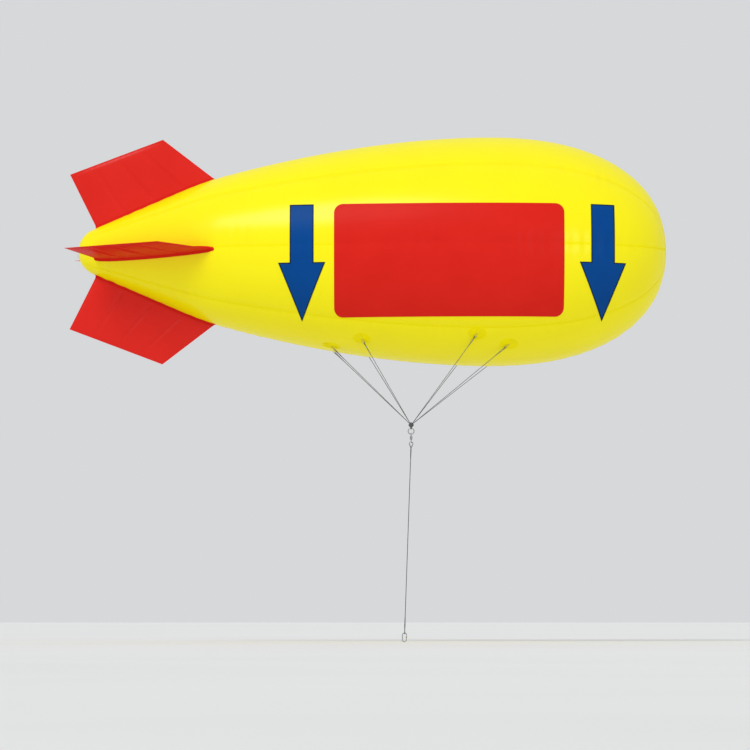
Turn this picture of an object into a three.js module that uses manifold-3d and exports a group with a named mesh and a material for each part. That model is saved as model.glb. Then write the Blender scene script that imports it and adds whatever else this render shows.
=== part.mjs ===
// Advertising blimp balloon on its tether. Millimetres, +X to the nose, +Y to port, +Z up.
// The origin is the centre of buoyancy, on the envelope's axis.

import * as THREE from 'three';
import { mergeVertices } from 'three/addons/utils/BufferGeometryUtils.js';
import Module from 'manifold-3d';

const wasm = await Module();
wasm.setup();

// Envelope: rounded nose, long body, straight tail cone, round tail tip
const MAX_RADIUS = 1170;
const WIDEST_X = 665;
const NOSE_LENGTH = 1817;
const NOSE_POWER = 2.285;
const BODY_FALL = 418;
const BODY_RUN = 2768;
const BODY_POWER = 1.84;
const TAIL_SLOPE = 0.43;
const TAIL_START_X = -3374;
const TAIL_START_RADIUS = 228;
const BLEND = 31;
const SHELL = 10;
const FACETS = 40;
const TAIL_RINGS = 4;
const NOSE_RINGS = 12;
const BODY_STATIONS = [-2700, -2260, -2150, -1900, -1550, -1200, -800, -350, 100];

// Everything that lies on the envelope clears it by the gap
const GAP = 0.4;
const DECAL = 3;
const SEAT = 0.3;

// Filler valve at the tail tip
const FILLER_RADIUS = 60;
const FLANGE_RADIUS = 88;
const FLANGE_THICKNESS = 5;
const NECK_WALL = 9;
const NECK_DEPTH = 28;
const CAP_PROUD = 4;

// Fins, by their corners: distance along the axis and distance from it
const FIN = {
  leadRootX: -2129,
  leadRoot: 745,
  trailRootX: -3338,
  trailRoot: 243,
  leadTipX: -2662,
  leadTip: 1153,
  trailTipX: -3612,
  trailTip: 794,
};
const FIN_HALF_THICKNESS = 32;
const FIN_EDGE = 3;
const FIN_SUNK = -0.16;
const FIN_CHORD_STEPS = 8;
const FIN_SPAN_STEPS = 5;

// Each fin: its turn about the X axis from upright, in degrees, and how far it is set below the axis.
// The side fins are raised at their tips.
const FINS = [
  ['fin_top', 0, 0],
  ['fin_starboard', 83.9, 110],
  ['fin_bottom', 180, 0],
  ['fin_port', -83.9, 110],
];

// Artwork on each side, in side view: distance along the axis and height
const ARROW = { shaftHalf: 120, headHalf: 237, top: 403, shoulder: -183, tip: -755 };
const ARROW_STATIONS = [['aft', -1224], ['fore', 1795]];
const SIGN = { aft: -899, fore: 1403, top: 402, bottom: -722, corner: 90 };

// Load patches on each side: place along the axis, angle below level
const PATCH_STATIONS = [
  ['aft_outer', -932, 74],
  ['aft_inner', -621, 59.6],
  ['fore_inner', 539, 49.2],
  ['fore_outer', 860, 57.4],
];
const PATCH_RADIUS = 90;
const TAB = { length: 60, width: 24, thickness: 6, sunk: 2 };

// Bridle, its knot, and the ring and swivel below it
const KNOT_X = -120;
const KNOT_Z = -1773;
const KNOT_RADIUS = 28;
const BRIDLE_RADIUS = 3;
const RING = { radius: 30, wire: 5 };
const EYE = { radius: 14, wire: 4 };
const BARREL = { radius: 13, height: 38, bore: 10, lip: 5, hole: 5.8 };
const STEM = { radius: 5, head: 9.3, headHeight: 6, free: 6 };

// Tether, from the swivel's lower eye down to the hook at floor level
const FOOT_Z = -3987;
const TETHER_LEAN = THREE.MathUtils.degToRad(2);
const TETHER_RADIUS = 4;
const THIMBLE = { radius: 16, wire: 3.5 };
const HOOK = { length: 100, width: 50, bar: 10, thickness: 8, bevel: 2, seat: 0.5 };

const SIDES = [['starboard', -1], ['port', 1]];

const finish = (color, roughness, metalness) => () =>
  new THREE.MeshStandardMaterial({ color, roughness, metalness });
const yellowFilm = finish(0xfff601, 0.38, 0);
const redFilm = finish(0xdb251c, 0.4, 0);
const blueFilm = finish(0x044b91, 0.4, 0);
const valvePlastic = finish(0xe9e6dc, 0.5, 0);
const rope = finish(0x6f7072, 0.85, 0);
const steel = finish(0xb4b8bc, 0.35, 0.9);

const blimp = new THREE.Group();

const at = (a, b) => new THREE.Vector2(a, b);

// Radius of the envelope at a place along its axis
const TAIL_TIP_RADIUS = TAIL_START_RADIUS * Math.hypot(1, TAIL_SLOPE);
const TAIL_CENTRE_X = TAIL_START_X + TAIL_START_RADIUS * TAIL_SLOPE;
const NOSE_X = WIDEST_X + NOSE_LENGTH;

function envelopeRadius(x) {
  if (x >= WIDEST_X) {
    const t = Math.min((x - WIDEST_X) / NOSE_LENGTH, 1);
    return MAX_RADIUS * (1 - t ** NOSE_POWER) ** (1 / NOSE_POWER);
  }
  if (x <= TAIL_START_X) {
    return Math.sqrt(Math.max(TAIL_TIP_RADIUS ** 2 - (x - TAIL_CENTRE_X) ** 2, 0));
  }
  const body = MAX_RADIUS - BODY_FALL * ((WIDEST_X - x) / BODY_RUN) ** BODY_POWER;
  const cone = TAIL_START_RADIUS + TAIL_SLOPE * (x - TAIL_START_X);
  const near = Math.max(BLEND - Math.abs(body - cone), 0) / BLEND;
  return Math.min(body, cone) - (near * near * BLEND) / 4;
}

// Places along the axis where the outline is drawn, from the tail opening to near the nose tip
function outlineStations() {
  const opening = Math.asin(FILLER_RADIUS / TAIL_TIP_RADIUS);
  const coneStart = Math.atan2(1, TAIL_SLOPE);
  const tail = Array.from({ length: TAIL_RINGS }, (_, ring) => {
    const angle = THREE.MathUtils.lerp(opening, coneStart, ring / TAIL_RINGS);
    return TAIL_CENTRE_X - TAIL_TIP_RADIUS * Math.cos(angle);
  });
  const nose = Array.from({ length: NOSE_RINGS }, (_, ring) =>
    WIDEST_X + NOSE_LENGTH * Math.sin((ring / NOSE_RINGS) * (Math.PI / 2)));
  return [...tail, TAIL_START_X, ...BODY_STATIONS, ...nose];
}

const STATIONS = outlineStations();

// Outline as points (radius, x) that run to the nose tip, moved outwards by a distance
function outline(distance, stations = STATIONS) {
  const points = stations.map((x) => {
    const slope = (envelopeRadius(x + 1) - envelopeRadius(x - 1)) / 2;
    const shift = distance / Math.hypot(1, slope);
    return at(envelopeRadius(x) + shift, x - slope * shift);
  });
  return [...points, at(0, NOSE_X + distance)];
}

// Turned body about the X axis, from points (radius, x) that run towards the nose
function turned(points, segments = FACETS) {
  return new THREE.LatheGeometry(points, segments).rotateZ(-Math.PI / 2);
}

// Turned body about the Z axis, from points (radius, z) that run upwards
function upright(points, segments) {
  return new THREE.LatheGeometry(points, segments).rotateX(Math.PI / 2);
}

// Solid for cutting and joining
function solid(geometry) {
  const bare = geometry.clone();
  bare.deleteAttribute('normal');
  bare.deleteAttribute('uv');
  const merged = mergeVertices(bare, 1e-4);
  const triVerts = [];
  for (let i = 0; i < merged.index.count; i += 3) {
    const [a, b, c] = [0, 1, 2].map((k) => merged.index.getX(i + k));
    if (a !== b && b !== c && c !== a) triVerts.push(a, b, c);
  }
  return new wasm.Manifold(new wasm.Mesh({
    numProp: 3,
    vertProperties: new Float32Array(merged.attributes.position.array),
    triVerts: new Uint32Array(triVerts),
  }));
}

function geometryOf(body) {
  const mesh = body.getMesh();
  const geometry = new THREE.BufferGeometry();
  geometry.setAttribute('position', new THREE.BufferAttribute(mesh.vertProperties, 3));
  geometry.setIndex(new THREE.BufferAttribute(mesh.triVerts, 1));
  geometry.computeVertexNormals();
  return geometry;
}

function addMesh(parent, name, geometry, material) {
  const mesh = new THREE.Mesh(geometry, material());
  mesh.name = name;
  parent.add(mesh);
  return mesh;
}

// The whole envelope as one filled body, swollen by a distance
function swollen(distance) {
  const tip = at(0, TAIL_CENTRE_X - TAIL_TIP_RADIUS - distance);
  return solid(turned([tip, ...outline(distance)]));
}

const decalLayer = swollen(GAP + DECAL).subtract(swollen(GAP));

// Envelope shell, open at the filler, and the patch on its nose
function buildEnvelope() {
  const inner = outline(-SHELL).reverse();
  inner[inner.length - 1].x = FILLER_RADIUS;
  addMesh(blimp, 'envelope', turned([...inner, ...outline(0)]), yellowFilm);

  const lastStation = STATIONS.slice(-1);
  const under = outline(GAP, lastStation).reverse();
  const over = outline(GAP + DECAL, lastStation);
  addMesh(blimp, 'nose_patch', turned([...under, ...over]), yellowFilm);
}

// Filler valve: flange on the tail tip with its neck inside, and the cap that closes it
function buildFiller() {
  const onTip = (radius, distance) =>
    TAIL_CENTRE_X - Math.sqrt((TAIL_TIP_RADIUS + distance) ** 2 - radius ** 2);
  const neck = FILLER_RADIUS - SEAT;
  const bore = neck - NECK_WALL;
  const face = onTip(0, FLANGE_THICKNESS);
  const seat = onTip(FILLER_RADIUS, 0) + NECK_DEPTH;
  addMesh(blimp, 'filler_flange', turned([
    at(bore, face),
    at(neck, face),
    at(FLANGE_RADIUS, onTip(FLANGE_RADIUS, FLANGE_THICKNESS)),
    at(FLANGE_RADIUS, onTip(FLANGE_RADIUS, GAP + 1)),
    at(neck, onTip(neck, GAP + 1)),
    at(neck, seat),
    at(bore, seat),
    at(bore, face),
  ]), valvePlastic);
  const plug = bore - SEAT;
  addMesh(blimp, 'filler_cap', turned([
    at(0, face - CAP_PROUD),
    at(plug, face - CAP_PROUD),
    at(plug, seat),
    at(0, seat),
  ], 24), valvePlastic);
}

// Fin: a flat inflated panel, thickest at the root, standing up in the XZ plane
function finPad() {
  const { lerp } = THREE.MathUtils;
  const box = new THREE.BoxGeometry(1, 1, 1, FIN_CHORD_STEPS, 1, FIN_SPAN_STEPS);
  const place = box.attributes.position;
  for (let i = 0; i < place.count; i++) {
    const chord = place.getX(i) + 0.5;
    const span = lerp(FIN_SUNK, 1, place.getZ(i) + 0.5);
    const crown = Math.sqrt(4 * chord * (1 - chord) * (1 - Math.max(span, 0) ** 2));
    const x = lerp(
      lerp(FIN.trailRootX, FIN.trailTipX, span),
      lerp(FIN.leadRootX, FIN.leadTipX, span),
      chord,
    );
    const z = lerp(
      lerp(FIN.trailRoot, FIN.trailTip, span),
      lerp(FIN.leadRoot, FIN.leadTip, span),
      chord,
    );
    const half = lerp(FIN_EDGE, FIN_HALF_THICKNESS, crown);
    place.setXYZ(i, x, 2 * place.getY(i) * half, z);
  }
  return box;
}

// Four fins, cut to sit on the envelope
function buildFins() {
  const hull = swollen(GAP);
  for (const [name, degrees, below] of FINS) {
    const pad = finPad().rotateX(THREE.MathUtils.degToRad(degrees)).translate(0, 0, -below);
    addMesh(blimp, name, geometryOf(solid(pad).subtract(hull)), redFilm);
  }
}

// Artwork: a shape in side view, pressed onto one side of the envelope
function pressed(shape, side) {
  const depth = 2 * MAX_RADIUS;
  const prism = new THREE.ExtrudeGeometry(shape, { depth, bevelEnabled: false, curveSegments: 4 });
  prism.rotateX(Math.PI / 2);
  if (side > 0) prism.translate(0, depth, 0);
  return geometryOf(decalLayer.intersect(solid(prism)));
}

function arrowShape(x) {
  const { shaftHalf, headHalf, top, shoulder, tip } = ARROW;
  return new THREE.Shape([
    at(x - shaftHalf, top),
    at(x - shaftHalf, shoulder),
    at(x - headHalf, shoulder),
    at(x, tip),
    at(x + headHalf, shoulder),
    at(x + shaftHalf, shoulder),
    at(x + shaftHalf, top),
  ]);
}

function signShape() {
  const { aft, fore, top, bottom, corner } = SIGN;
  const shape = new THREE.Shape();
  shape.moveTo(aft + corner, bottom);
  shape.lineTo(fore - corner, bottom);
  shape.absarc(fore - corner, bottom + corner, corner, -Math.PI / 2, 0);
  shape.lineTo(fore, top - corner);
  shape.absarc(fore - corner, top - corner, corner, 0, Math.PI / 2);
  shape.lineTo(aft + corner, top);
  shape.absarc(aft + corner, top - corner, corner, Math.PI / 2, Math.PI);
  shape.lineTo(aft, bottom + corner);
  shape.absarc(aft + corner, bottom + corner, corner, Math.PI, 1.5 * Math.PI);
  return shape;
}

function buildArtwork() {
  for (const [sideName, side] of SIDES) {
    addMesh(blimp, `sign_${sideName}`, pressed(signShape(), side), redFilm);
    for (const [place, x] of ARROW_STATIONS) {
      addMesh(blimp, `arrow_${place}_${sideName}`, pressed(arrowShape(x), side), blueFilm);
    }
  }
}

// Point on the envelope's facets, with its outward direction
function onEnvelope(x, degreesBelow, side) {
  const next = STATIONS.findIndex((station) => station > x);
  const [aft, fore] = STATIONS.slice(next - 1, next + 1);
  const slope = (envelopeRadius(fore) - envelopeRadius(aft)) / (fore - aft);
  const corner = envelopeRadius(aft) + slope * (x - aft);
  const angle = THREE.MathUtils.degToRad(degreesBelow);
  const facet = (2 * Math.PI) / FACETS;
  const offCentre = (angle % facet) - facet / 2;
  const radius = (corner * Math.cos(facet / 2)) / Math.cos(offCentre);
  const out = new THREE.Vector3(-slope, side * Math.cos(angle), -Math.sin(angle)).normalize();
  const point = new THREE.Vector3(x, side * radius * Math.cos(angle), -radius * Math.sin(angle));
  return { point, out };
}

// Straight bar from one point to another, as a matrix for geometry that lies along +Y
function along(from, to) {
  const matrix = new THREE.Matrix4().makeRotationFromQuaternion(
    new THREE.Quaternion().setFromUnitVectors(
      new THREE.Vector3(0, 1, 0),
      to.clone().sub(from).normalize(),
    ),
  );
  return matrix.setPosition(from.clone().add(to).multiplyScalar(0.5));
}

// Load patch with its webbing tab, and the bridle line from the tab to the knot
function buildBridle() {
  const knot = new THREE.Vector3(KNOT_X, 0, KNOT_Z);
  for (const [sideName, side] of SIDES) {
    for (const [place, x, degreesBelow] of PATCH_STATIONS) {
      const { point, out } = onEnvelope(x, degreesBelow, side);
      const lift = GAP + DECAL - TAB.sunk + TAB.thickness / 2;
      const start = point.clone().addScaledVector(out, lift);
      const pull = knot.clone().sub(start).normalize();

      const disc = new THREE.CylinderGeometry(PATCH_RADIUS, PATCH_RADIUS, 80, 24);
      disc.applyMatrix4(along(
        point.clone().addScaledVector(out, -40),
        point.clone().addScaledVector(out, 40),
      ));
      const across = new THREE.Vector3().crossVectors(out, pull).normalize();
      const up = new THREE.Vector3().crossVectors(pull, across);
      const tab = new THREE.BoxGeometry(TAB.length, TAB.width, TAB.thickness);
      tab.translate(TAB.length / 2, 0, 0);
      tab.applyMatrix4(new THREE.Matrix4().makeBasis(pull, across, up).setPosition(start));
      const patch = decalLayer.intersect(solid(disc)).add(solid(tab));
      addMesh(blimp, `load_patch_${place}_${sideName}`, geometryOf(patch), yellowFilm);

      const head = start.clone().addScaledVector(pull, TAB.length + SEAT);
      const foot = knot.clone().addScaledVector(pull, -KNOT_RADIUS - SEAT);
      const line = new THREE.CylinderGeometry(BRIDLE_RADIUS, BRIDLE_RADIUS, 1, 8);
      line.scale(1, head.distanceTo(foot), 1);
      line.applyMatrix4(along(head, foot));
      addMesh(blimp, `bridle_${place}_${sideName}`, line, rope);
    }
  }
  const ball = new THREE.SphereGeometry(KNOT_RADIUS, 12, 8).translate(...knot.toArray());
  addMesh(blimp, 'bridle_knot', ball, rope);
}

// Ring standing along the blimp (turn 0) or across it (turn a quarter)
function ringAt(z, radius, wire, quarterTurns) {
  const torus = new THREE.TorusGeometry(radius, wire, 6, 16);
  torus.rotateX(Math.PI / 2);
  torus.rotateZ((quarterTurns * Math.PI) / 2);
  return torus.translate(0, 0, z);
}

// Ring, swivel and tether, each hanging from the one above
function buildTether() {
  const hanging = new THREE.Group();
  hanging.position.set(KNOT_X, 0, KNOT_Z);
  blimp.add(hanging);

  const ringZ = -KNOT_RADIUS - SEAT - RING.wire - RING.radius;
  addMesh(hanging, 'confluence_ring', ringAt(ringZ, RING.radius, RING.wire, 0), steel);

  const headEyeZ = ringZ - RING.radius + RING.wire + EYE.wire + SEAT - EYE.radius;
  const barrelTop = headEyeZ - EYE.radius + 1;
  const barrelBottom = barrelTop - BARREL.height;
  const roof = barrelTop - BARREL.lip;
  const lipTop = barrelBottom + BARREL.lip;
  const barrel = upright([
    at(0, roof),
    at(BARREL.bore, roof),
    at(BARREL.bore, lipTop),
    at(BARREL.hole, lipTop),
    at(BARREL.hole, barrelBottom),
    at(BARREL.radius, barrelBottom),
    at(BARREL.radius, barrelTop),
    at(0, barrelTop),
  ], 12);
  const headEye = ringAt(headEyeZ, EYE.radius, EYE.wire, 1);
  addMesh(hanging, 'swivel_barrel', geometryOf(solid(headEye).add(solid(barrel))), steel);

  const stemBottom = barrelBottom - STEM.free;
  const pinZ = stemBottom - 2 * EYE.radius;
  const stem = upright([
    at(0, stemBottom - 2),
    at(STEM.radius, stemBottom - 2),
    at(STEM.radius, lipTop + SEAT),
    at(STEM.head, lipTop + SEAT),
    at(STEM.head, lipTop + SEAT + STEM.headHeight),
    at(0, lipTop + SEAT + STEM.headHeight),
  ], 12);
  const lowerEye = ringAt(stemBottom - EYE.radius, EYE.radius, EYE.wire, 1);
  addMesh(hanging, 'swivel_eye', geometryOf(solid(lowerEye).add(solid(stem))), steel);

  const tether = new THREE.Group();
  tether.position.z = pinZ;
  tether.rotation.y = TETHER_LEAN;
  hanging.add(tether);

  const reach = (KNOT_Z + pinZ - FOOT_Z) / Math.cos(TETHER_LEAN);
  const topZ = EYE.wire + THIMBLE.wire + SEAT - THIMBLE.radius;
  const bowZ = HOOK.length - reach - HOOK.bar;
  const lowZ = bowZ - HOOK.seat - THIMBLE.wire + THIMBLE.radius;
  const from = topZ - THIMBLE.radius;
  const to = lowZ + THIMBLE.radius;
  const line = new THREE.CylinderGeometry(TETHER_RADIUS, TETHER_RADIUS, from - to, 8);
  line.rotateX(Math.PI / 2).translate(0, 0, (from + to) / 2);
  const rigging = solid(line)
    .add(solid(ringAt(topZ, THIMBLE.radius, THIMBLE.wire, 0)))
    .add(solid(ringAt(lowZ, THIMBLE.radius, THIMBLE.wire, 1)));
  addMesh(tether, 'tether_line', geometryOf(rigging), rope);

  const hook = new THREE.ExtrudeGeometry(hookShape(), {
    depth: HOOK.thickness - 2 * HOOK.bevel,
    bevelThickness: HOOK.bevel,
    bevelSize: HOOK.bevel,
    bevelOffset: -HOOK.bevel,
    bevelSegments: 1,
    curveSegments: 6,
  });
  hook.translate(0, 0, HOOK.bevel - HOOK.thickness / 2).rotateX(Math.PI / 2);
  addMesh(tether, 'tether_hook', hook.translate(0, 0, -reach), steel);
}

// Closed link of the hook, its lowest point at zero
function hookShape() {
  const race = (path, inset) => {
    const radius = HOOK.width / 2 - inset;
    path.absarc(0, HOOK.width / 2, radius, Math.PI, 2 * Math.PI);
    path.absarc(0, HOOK.length - HOOK.width / 2, radius, 0, Math.PI);
    path.closePath();
    return path;
  };
  const shape = race(new THREE.Shape(), 0);
  shape.holes.push(race(new THREE.Path(), HOOK.bar));
  return shape;
}

buildEnvelope();
buildFiller();
buildFins();
buildArtwork();
buildBridle();
buildTether();

export default blimp;
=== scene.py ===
"""Dresses the advertising blimp: hull, fins, artwork, load patches, bridle, swivel and tether."""

import logging
from collections.abc import Callable, Sequence
from dataclasses import dataclass, field
from enum import Enum
from functools import cache
from math import acos, asin, atan2, ceil, cos, degrees, exp, hypot, pi, radians, sin, sqrt

import bmesh
import bpy
from mathutils import Matrix, Vector, noise


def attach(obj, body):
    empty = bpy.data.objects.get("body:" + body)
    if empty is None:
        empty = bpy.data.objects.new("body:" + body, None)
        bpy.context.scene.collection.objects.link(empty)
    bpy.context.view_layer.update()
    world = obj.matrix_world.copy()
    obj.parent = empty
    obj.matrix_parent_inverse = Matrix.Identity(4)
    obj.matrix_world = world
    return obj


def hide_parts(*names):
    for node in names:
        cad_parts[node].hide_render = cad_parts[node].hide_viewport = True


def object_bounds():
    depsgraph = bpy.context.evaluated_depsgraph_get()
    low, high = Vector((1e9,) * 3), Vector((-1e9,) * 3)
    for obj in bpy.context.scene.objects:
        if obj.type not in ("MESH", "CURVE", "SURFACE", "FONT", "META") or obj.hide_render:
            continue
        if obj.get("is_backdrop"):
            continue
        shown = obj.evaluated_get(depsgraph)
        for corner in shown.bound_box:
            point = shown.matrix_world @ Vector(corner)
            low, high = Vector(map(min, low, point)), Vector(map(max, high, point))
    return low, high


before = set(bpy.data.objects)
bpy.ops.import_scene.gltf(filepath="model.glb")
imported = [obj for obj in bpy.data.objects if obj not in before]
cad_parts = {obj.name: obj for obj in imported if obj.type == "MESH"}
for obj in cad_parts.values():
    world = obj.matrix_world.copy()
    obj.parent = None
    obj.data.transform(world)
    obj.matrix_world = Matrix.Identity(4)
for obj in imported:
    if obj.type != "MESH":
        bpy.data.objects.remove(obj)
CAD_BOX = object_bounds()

LOG = logging.getLogger("blimp")
TURN = 2 * pi
MERGE_DISTANCE = 1e-6
THREAD_SIDES = 5
TWINE_SIDES = 6
STEEP = 0.9
EYE_STEP = 0.004
TWINE_RADIUS = 0.0006
SPLICE_POWER = 0.8
X_AXIS = Vector((1, 0, 0))
Y_AXIS = Vector((0, 1, 0))
Z_AXIS = Vector((0, 0, 1))

NEAR_AXIS = 0.0001
# name, degrees from the top, distance below the axis
FIN_PLACES = (
    ("top", 0.0, 0.0), ("starboard", 83.9, 0.110), ("bottom", 180.0, 0.0), ("port", -83.9, 0.110),
)
# name, x, degrees below the axis
LOAD_PATCHES = (
    ("aft_outer", -0.932, 74.0), ("aft_inner", -0.621, 59.6), ("fore_inner", 0.539, 49.2),
    ("fore_outer", 0.860, 57.4),
)

Colour = tuple[float, float, float]
Section = list[tuple[float, float]]
Profile = tuple[tuple[float, float], ...]


class Body(Enum):
    """Bodies that the pieces ride on."""

    ROOT = "root"
    SWIVEL = "swivel"
    TETHER = "tether"


class Side(Enum):
    """Sides of the blimp, by the sign of Y."""

    STARBOARD = -1
    PORT = 1


# Mesh tools


@dataclass
class Surface:
    """Points and faces of one piece, with each corner's place on the material, in metres."""

    points: list[Vector] = field(default_factory=list)
    faces: list[tuple[int, ...]] = field(default_factory=list)
    cloth: list[tuple[tuple[float, float], ...]] = field(default_factory=list)

    def add(self, other: "Surface") -> "Surface":
        """Takes up another surface.

        Args:
            other: surface whose points and faces are added.

        Returns:
            This surface.
        """
        first = len(self.points)
        self.points += other.points
        self.faces += [tuple(first + index for index in face) for face in other.faces]
        self.cloth += other.cloth
        return self

    def moved(self, matrix: Matrix) -> "Surface":
        """Returns a copy of the surface moved by a matrix."""
        return Surface([matrix @ point for point in self.points], list(self.faces), list(self.cloth))


def loft(
    rings: Sequence[Sequence[Vector]],
    along: Sequence[float] | None = None,
    ring_closed: bool = True,
    loop: bool = False,
    capped: bool = True,
) -> Surface:
    """Stretches a skin over rings that have the same number of points.

    Args:
        rings: rows of points, in order.
        along: distance of each ring, for the cloth's first coordinate.
        ring_closed: whether each ring's last point joins its first.
        loop: whether the last ring joins the first.
        capped: whether both ends are closed with a fan.

    Returns:
        The skin.
    """
    count = len(rings[0])
    spots = [i / max(len(rings) - 1, 1) for i in range(len(rings))] if along is None else along
    skin = Surface([point for ring in rings for point in ring])
    last_ring = len(rings) if loop else len(rings) - 1
    last_column = count if ring_closed else count - 1
    for i in range(last_ring):
        k = (i + 1) % len(rings)
        end = spots[k] if k else spots[-1] + (spots[1] - spots[0])
        for j in range(last_column):
            m = (j + 1) % count
            skin.faces.append((i * count + j, k * count + j, k * count + m, i * count + m))
            low, high = j / last_column, (j + 1) / last_column
            skin.cloth.append(((spots[i], low), (end, low), (end, high), (spots[i], high)))
    if capped and ring_closed and not loop:
        for i in (0, len(rings) - 1):
            centre = sum(rings[i], Vector()) / count
            skin.points.append(centre)
            hub = len(skin.points) - 1
            for j in range(count):
                skin.faces.append((hub, i * count + j, i * count + (j + 1) % count))
                low, high = j / count, (j + 1) / count
                skin.cloth.append(((spots[i], low), (spots[i], low), (spots[i], high)))
    return skin


def sheet(grid: Sequence[Sequence[Vector]], thickness: float) -> Surface:
    """Makes a closed thin sheet below a grid of points.

    Args:
        grid: rows of points on the sheet's outer face.
        thickness: how far the inner face lies below, against the rows' cross product.

    Returns:
        The sheet, with its edges closed.
    """
    rows, columns = len(grid), len(grid[0])
    spots = [0.0]
    for i in range(1, rows):
        spots.append(spots[-1] + (grid[i][columns // 2] - grid[i - 1][columns // 2]).length)
    rings = []
    for i in range(rows):
        ahead, behind = grid[min(i + 1, rows - 1)], grid[max(i - 1, 0)]
        under = []
        for j in range(columns):
            lengthwise = ahead[j] - behind[j]
            crosswise = grid[i][min(j + 1, columns - 1)] - grid[i][max(j - 1, 0)]
            normal = lengthwise.cross(crosswise).normalized()
            under.append(grid[i][j] - normal * thickness)
        rings.append(list(grid[i]) + under[::-1])
    return loft(rings, along=spots)


def distances(path: Sequence[Vector]) -> list[float]:
    """Returns the distance along a path at each of its points.

    Args:
        path: the path's points.

    Returns:
        One distance for each point.
    """
    spots = [0.0]
    for before, after in zip(path, path[1:]):
        spots.append(spots[-1] + (after - before).length)
    return spots


def sweep(
    path: Sequence[Vector],
    section: Callable[[float], Section],
    across: Vector | None = None,
    closed: bool = False,
) -> Surface:
    """Runs a section along a path.

    Args:
        path: points of the path.
        section: gives the section's points (outwards, across) at a distance along the path.
        across: the direction that stays across a flat path; without it the section doesn't twist.
        closed: whether the path's last point joins its first.

    Returns:
        The swept surface, with closed ends.
    """
    count = len(path)
    spots = distances(path)
    rings = []
    outward = None
    sideways = across
    for i, point in enumerate(path):
        ahead = path[(i + 1) % count] if closed else path[min(i + 1, count - 1)]
        behind = path[i - 1] if closed or i else path[0]
        tangent = (ahead - behind).normalized()
        if across is not None:
            outward = tangent.cross(across).normalized()
        else:
            if outward is None:
                helper = Z_AXIS if abs(tangent.z) < STEEP else X_AXIS
                outward = tangent.cross(helper).normalized()
            outward = (outward - tangent * outward.dot(tangent)).normalized()
            sideways = tangent.cross(outward)
        rings.append([point + outward * a + sideways * b for a, b in section(spots[i])])
    return loft(rings, along=spots, loop=closed)


def circle(radius: float, sides: int = 12) -> Section:
    """Returns the points of a round section."""
    return oval(radius, radius, sides)


def oval(outwards: float, across: float, sides: int = 16) -> Section:
    """Returns the points of an oval section with the two half widths."""
    turns = [TURN * j / sides for j in range(sides)]
    return [(outwards * cos(turn), across * sin(turn)) for turn in turns]


def lathe(
    profile: Sequence[tuple[float, float]], axis: Vector, origin: Vector, segments: int = 48
) -> Surface:
    """Turns a profile about an axis.

    Args:
        profile: points (radius, distance along the axis).
        axis: direction of the axis.
        origin: the axis's starting point.
        segments: number of steps round the axis.

    Returns:
        The turned surface, closed where the profile ends off the axis.
    """
    first = axis.orthogonal().normalized()
    second = axis.cross(first)
    turns = [TURN * j / segments for j in range(segments)]
    rims = [first * cos(turn) + second * sin(turn) for turn in turns]
    rings = [[origin + axis * height + rim * radius for rim in rims] for radius, height in profile]
    return loft(rings)


def arc(
    centre: Vector, first: Vector, second: Vector, start: float, end: float, steps: int
) -> list[Vector]:
    """Returns points on an arc in the plane of two vectors, which also set its radius.

    Args:
        centre: the arc's centre.
        first: vector to the point at angle 0.
        second: vector to the point at a quarter turn.
        start: first angle, in degrees.
        end: last angle, in degrees.
        steps: number of steps between them.

    Returns:
        steps + 1 points.
    """
    angles = [radians(start + (end - start) * i / steps) for i in range(steps + 1)]
    return [centre + first * cos(angle) + second * sin(angle) for angle in angles]


def straight(start: Vector, end: Vector, step: float) -> list[Vector]:
    """Returns evenly spaced points from one point to another, a step or less apart."""
    count = max(1, ceil((end - start).length / step))
    return [start.lerp(end, i / count) for i in range(count + 1)]


def stitches(path: Sequence[Vector], up: Vector, length: float, gap: float, thread: float) -> Surface:
    """Sews a row of stitches along a path.

    Args:
        path: points of the seam.
        up: direction away from the cloth.
        length: length of one stitch.
        gap: length between stitches.
        thread: radius of the thread.

    Returns:
        All stitches as one surface.
    """
    spots = distances(path)
    row = Surface()

    def place(distance: float) -> Vector:
        """Returns the point at a distance along the seam.

        Args:
            distance: how far along the seam.

        Returns:
            The point.
        """
        for i in range(1, len(path)):
            if distance <= spots[i]:
                share = (distance - spots[i - 1]) / max(spots[i] - spots[i - 1], MERGE_DISTANCE)
                return path[i - 1].lerp(path[i], share)
        return path[-1].copy()

    start = gap / 2
    while start + length <= spots[-1]:
        ends = [place(start), place(start + length)]
        middle = place(start + length / 2) + up * thread
        row.add(sweep([ends[0], middle, ends[1]], lambda spot: circle(thread, THREAD_SIDES)))
        start += length + gap
    return row


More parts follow.
